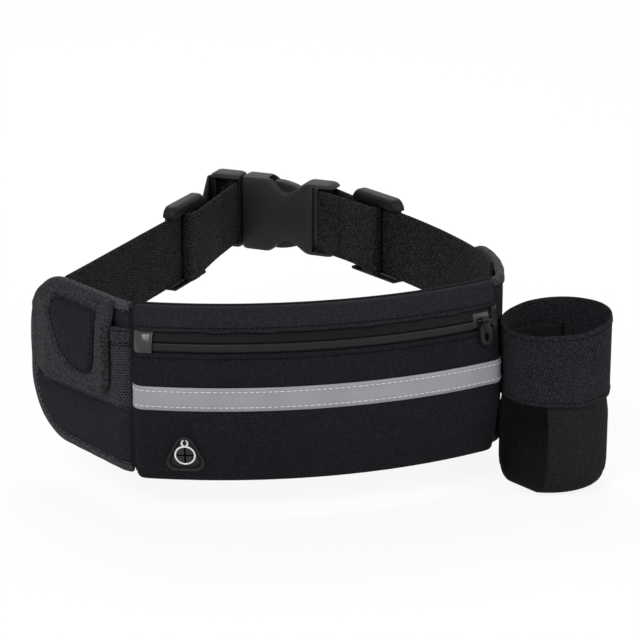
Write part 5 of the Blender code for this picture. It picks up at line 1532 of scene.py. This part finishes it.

# %% [markdown]
# ## Loops round the buckle bars
# Each strap end goes round a bar of the buckle and runs back to a tri-glide, where it turns round
# the middle bar. So each side has a loop and a return.

# %% Loops and returns
LOOP_LOW, LOOP_HIGH, LOOP_BEND = 0.0555, 0.0925, 0.0018
BUCKLE_START, BUCKLE_HEADING, BUCKLE_MIDDLE = Vector((-0.0114, 0.1415, 0)), -35.0, UP * 0.0745
LEFT_BACK, RIGHT_BACK, GLIDE_BAR = 0.024, 0.0205, 0.005
BAR_OVER = 0.0025 + STRAP_THICK / 2 + GAP
WRAP_MIDDLE, WRAP, BLEND_SHORT = -0.0045, 0.0026, 0.008
RETURN_LOW = STRAP_LOW + 0.0004
PLUG_HOLD, PLUG_BAR, SOCKET_BAR, SOCKET_END = 0.008, 0.01815, 0.070, 0.0775 + STRAP_THICK / 2 + GAP


def buckle_plan(along, out):
    return BUCKLE_START + plan(BUCKLE_HEADING) * along + plan(BUCKLE_HEADING + 90) * out


def loop_lines(route, back, corners):
    """The loop's line, the return's line round the tri-glide's middle bar, and the place where they meet."""
    near, far = back - GLIDE_BAR / 2, back + GLIDE_BAR / 2 + WRAP
    inner, outer = WRAP_MIDDLE - WRAP, WRAP_MIDDLE + WRAP
    wrap = [route.at(*spot) for spot in ((near - WRAP, inner), (far, inner), (far, outer), (near, outer))]
    meet = corners[-1].lerp(wrap[0], 0.5)
    way = (wrap[0] - corners[-1]).normalized()
    loop_line = rounded([route.at(-GAP)] + corners + [meet], LOOP_BEND)
    return loop_line, rounded([meet + way * GAP] + wrap, LOOP_BEND), meet


def strap_return(side, line, meet, route, back):
    """The layer that runs back to the tri-glide."""
    made = webbing(f"{side}_return_webbing", line, LOOP_LOW, LOOP_HIGH, f"{side}_strap_return", body=None,
                   spread_to=RETURN_LOW)
    tuple(meet + BUCKLE_MIDDLE)
    tuple(route.at(back - BLEND_SHORT) + BUCKLE_MIDDLE)
    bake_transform(made)


left_corners = [buckle_plan(-BAR_OVER, BAR_OVER), buckle_plan(PLUG_BAR, BAR_OVER)]
loop_line, return_line, meet = loop_lines(LEFT_STRAP, LEFT_BACK, left_corners)
left_loop = webbing("left_loop_webbing", loop_line, LOOP_LOW, LOOP_HIGH, "left_buckle_loop", body=None)
tuple(buckle_plan(PLUG_HOLD, 0) + BUCKLE_MIDDLE)
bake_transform(left_loop)
strap_return("left", return_line, meet, LEFT_STRAP, LEFT_BACK)
right_corners = [buckle_plan(SOCKET_END, BAR_OVER), buckle_plan(SOCKET_BAR, BAR_OVER),
                 buckle_plan(SOCKET_BAR, -BAR_OVER)]
loop_line, return_line, meet = loop_lines(RIGHT_STRAP, RIGHT_BACK, right_corners)
webbing("right_loop_webbing", loop_line, LOOP_LOW, LOOP_HIGH, "right_buckle_loop")
strap_return("right", return_line, meet, RIGHT_STRAP, RIGHT_BACK)
print("loops and returns made")

# %% [markdown]
# ## Buckle
# The side-release buckle is moulded in satin black acetal: a socket, a plug and two springy prongs.
# The solids already carry its shape, so they are dressed like the slider, with rounder edges on the
# prongs, where they are squeezed.

# %% Buckle
for node, body, width in (("buckle_socket", "pack", 0.0010), ("buckle_plug", "buckle_plug", 0.0010),
                          ("plug_prong_upper", "prong_upper", 0.0014),
                          ("plug_prong_lower", "prong_lower", 0.0014)):
    dress(node, f"{node}_moulding", PLASTIC, body, "buckle_plastic", width, segments=4)

# %% [markdown]
# ## Tri-glides
# A tri-glide is a small frame that sets the strap's length: a head rail, a foot rail and three
# bars. Its head has large round corners that a bevel on the solid would not give, so its rails and
# bars are lofted from rounded sections. They follow the strap's route, so the right one bends with
# its strap.

# %% Tri-glides
GLIDE_HALF, GLIDE_IN, GLIDE_OUT, GLIDE_PINCH = 0.020, -0.0043, 0.0041, 0.0014
FREE_ROUND, HELD_ROUND, FREE_SHARE, HELD_SHARE = 0.0026, 0.0007, 0.6, 0.3
GLIDE_HEAD = (LOOP_HIGH + 0.0002, LOOP_HIGH + 0.0066, 0.0060)
GLIDE_FOOT = (STRAP_LOW - 0.0004, STRAP_LOW - 0.0020, 0.0016)
BAR_HALF, BAR_ROUND, NECK_WIDE, NECK_DEEP = 0.0011, 0.0009, 0.35, 0.4
GLIDE_BARS = ((-0.017, -0.0146, 0.0026), (-0.0025, 0.0025, -0.0041), (0.0146, 0.017, 0.0026))


def rounded_box(low, high, upper, lower, count=5):
    """A rectangle in two measures, its upper and lower corners turned on their own radius."""
    return (corner_arc(high[0] - upper, high[1] - upper, upper, 0, 90, count)
            + corner_arc(low[0] + upper, high[1] - upper, upper, 90, 180, count)
            + corner_arc(low[0] + lower, low[1] + lower, lower, 180, 270, count)
            + corner_arc(high[0] - lower, low[1] + lower, lower, 270, 360, count))


def glide_rail(route, back, near, far, corner):
    """A rail of a tri-glide: round in section, its free corners turned on a radius."""
    turned = [GLIDE_HALF - corner * (1 - math.sin(math.radians(a))) for a in spread(0, 88, 9)]
    rows = []
    for along in [-t for t in reversed(turned)] + turned:
        fallen = round_off(max(0.0, (abs(along) - GLIDE_HALF + corner) / corner))
        end = near + (far - near) * (1 - fallen)
        low, high = min(near, end), max(near, end)
        pinch = GLIDE_PINCH * fallen
        free = min(FREE_ROUND, (high - low) * FREE_SHARE)
        held = min(HELD_ROUND, (high - low) * HELD_SHARE)
        upper, lower = (free, held) if far > near else (held, free)
        section = rounded_box((GLIDE_IN + pinch, low), (GLIDE_OUT - pinch, high), upper, lower)
        rows.append([route.at(back + along, *spot) for spot in section])
    return rows


def glide_bar(route, back, start, end, out):
    """A bar from rail to rail. The middle one narrows to a neck below and above the webbing."""
    section = rounded_box((start, out - BAR_HALF), (end, out + BAR_HALF), BAR_ROUND, BAR_ROUND)
    neck = section
    if out < 0:
        neck = [(x * NECK_WIDE, out + BAR_HALF + (y - out) * NECK_DEEP) for x, y in section]
    levels = [(STRAP_LOW - 0.0010, neck), (STRAP_LOW + 0.0010, neck), (STRAP_LOW + 0.0020, section),
              (LOOP_HIGH - 0.0026, section), (LOOP_HIGH - 0.0016, neck), (LOOP_HIGH + 0.0024, neck)]
    return [[route.at(back + x, y, height) for x, y in shape] for height, shape in levels]


for side, route, back in (("left", LEFT_STRAP, LEFT_BACK), ("right", RIGHT_STRAP, RIGHT_BACK)):
    pieces = {"head": glide_rail(route, back, *GLIDE_HEAD), "foot": glide_rail(route, back, *GLIDE_FOOT)}
    for number, bar in enumerate(GLIDE_BARS):
        pieces[f"bar_{number + 1}"] = glide_bar(route, back, *bar)
    node = f"{side}_tri_glide"
    for title, rows in pieces.items():
        sew(f"{side}_glide_{title}", rows, DARK_PLASTIC, "buckle_plastic", node, body=node)
print("tri-glides made")

# %% [markdown]
# ## Box of the solids
# The box round the frame's solids, taken before any dressing, is printed.

# %% Sizes
print("cad box", cad_box)
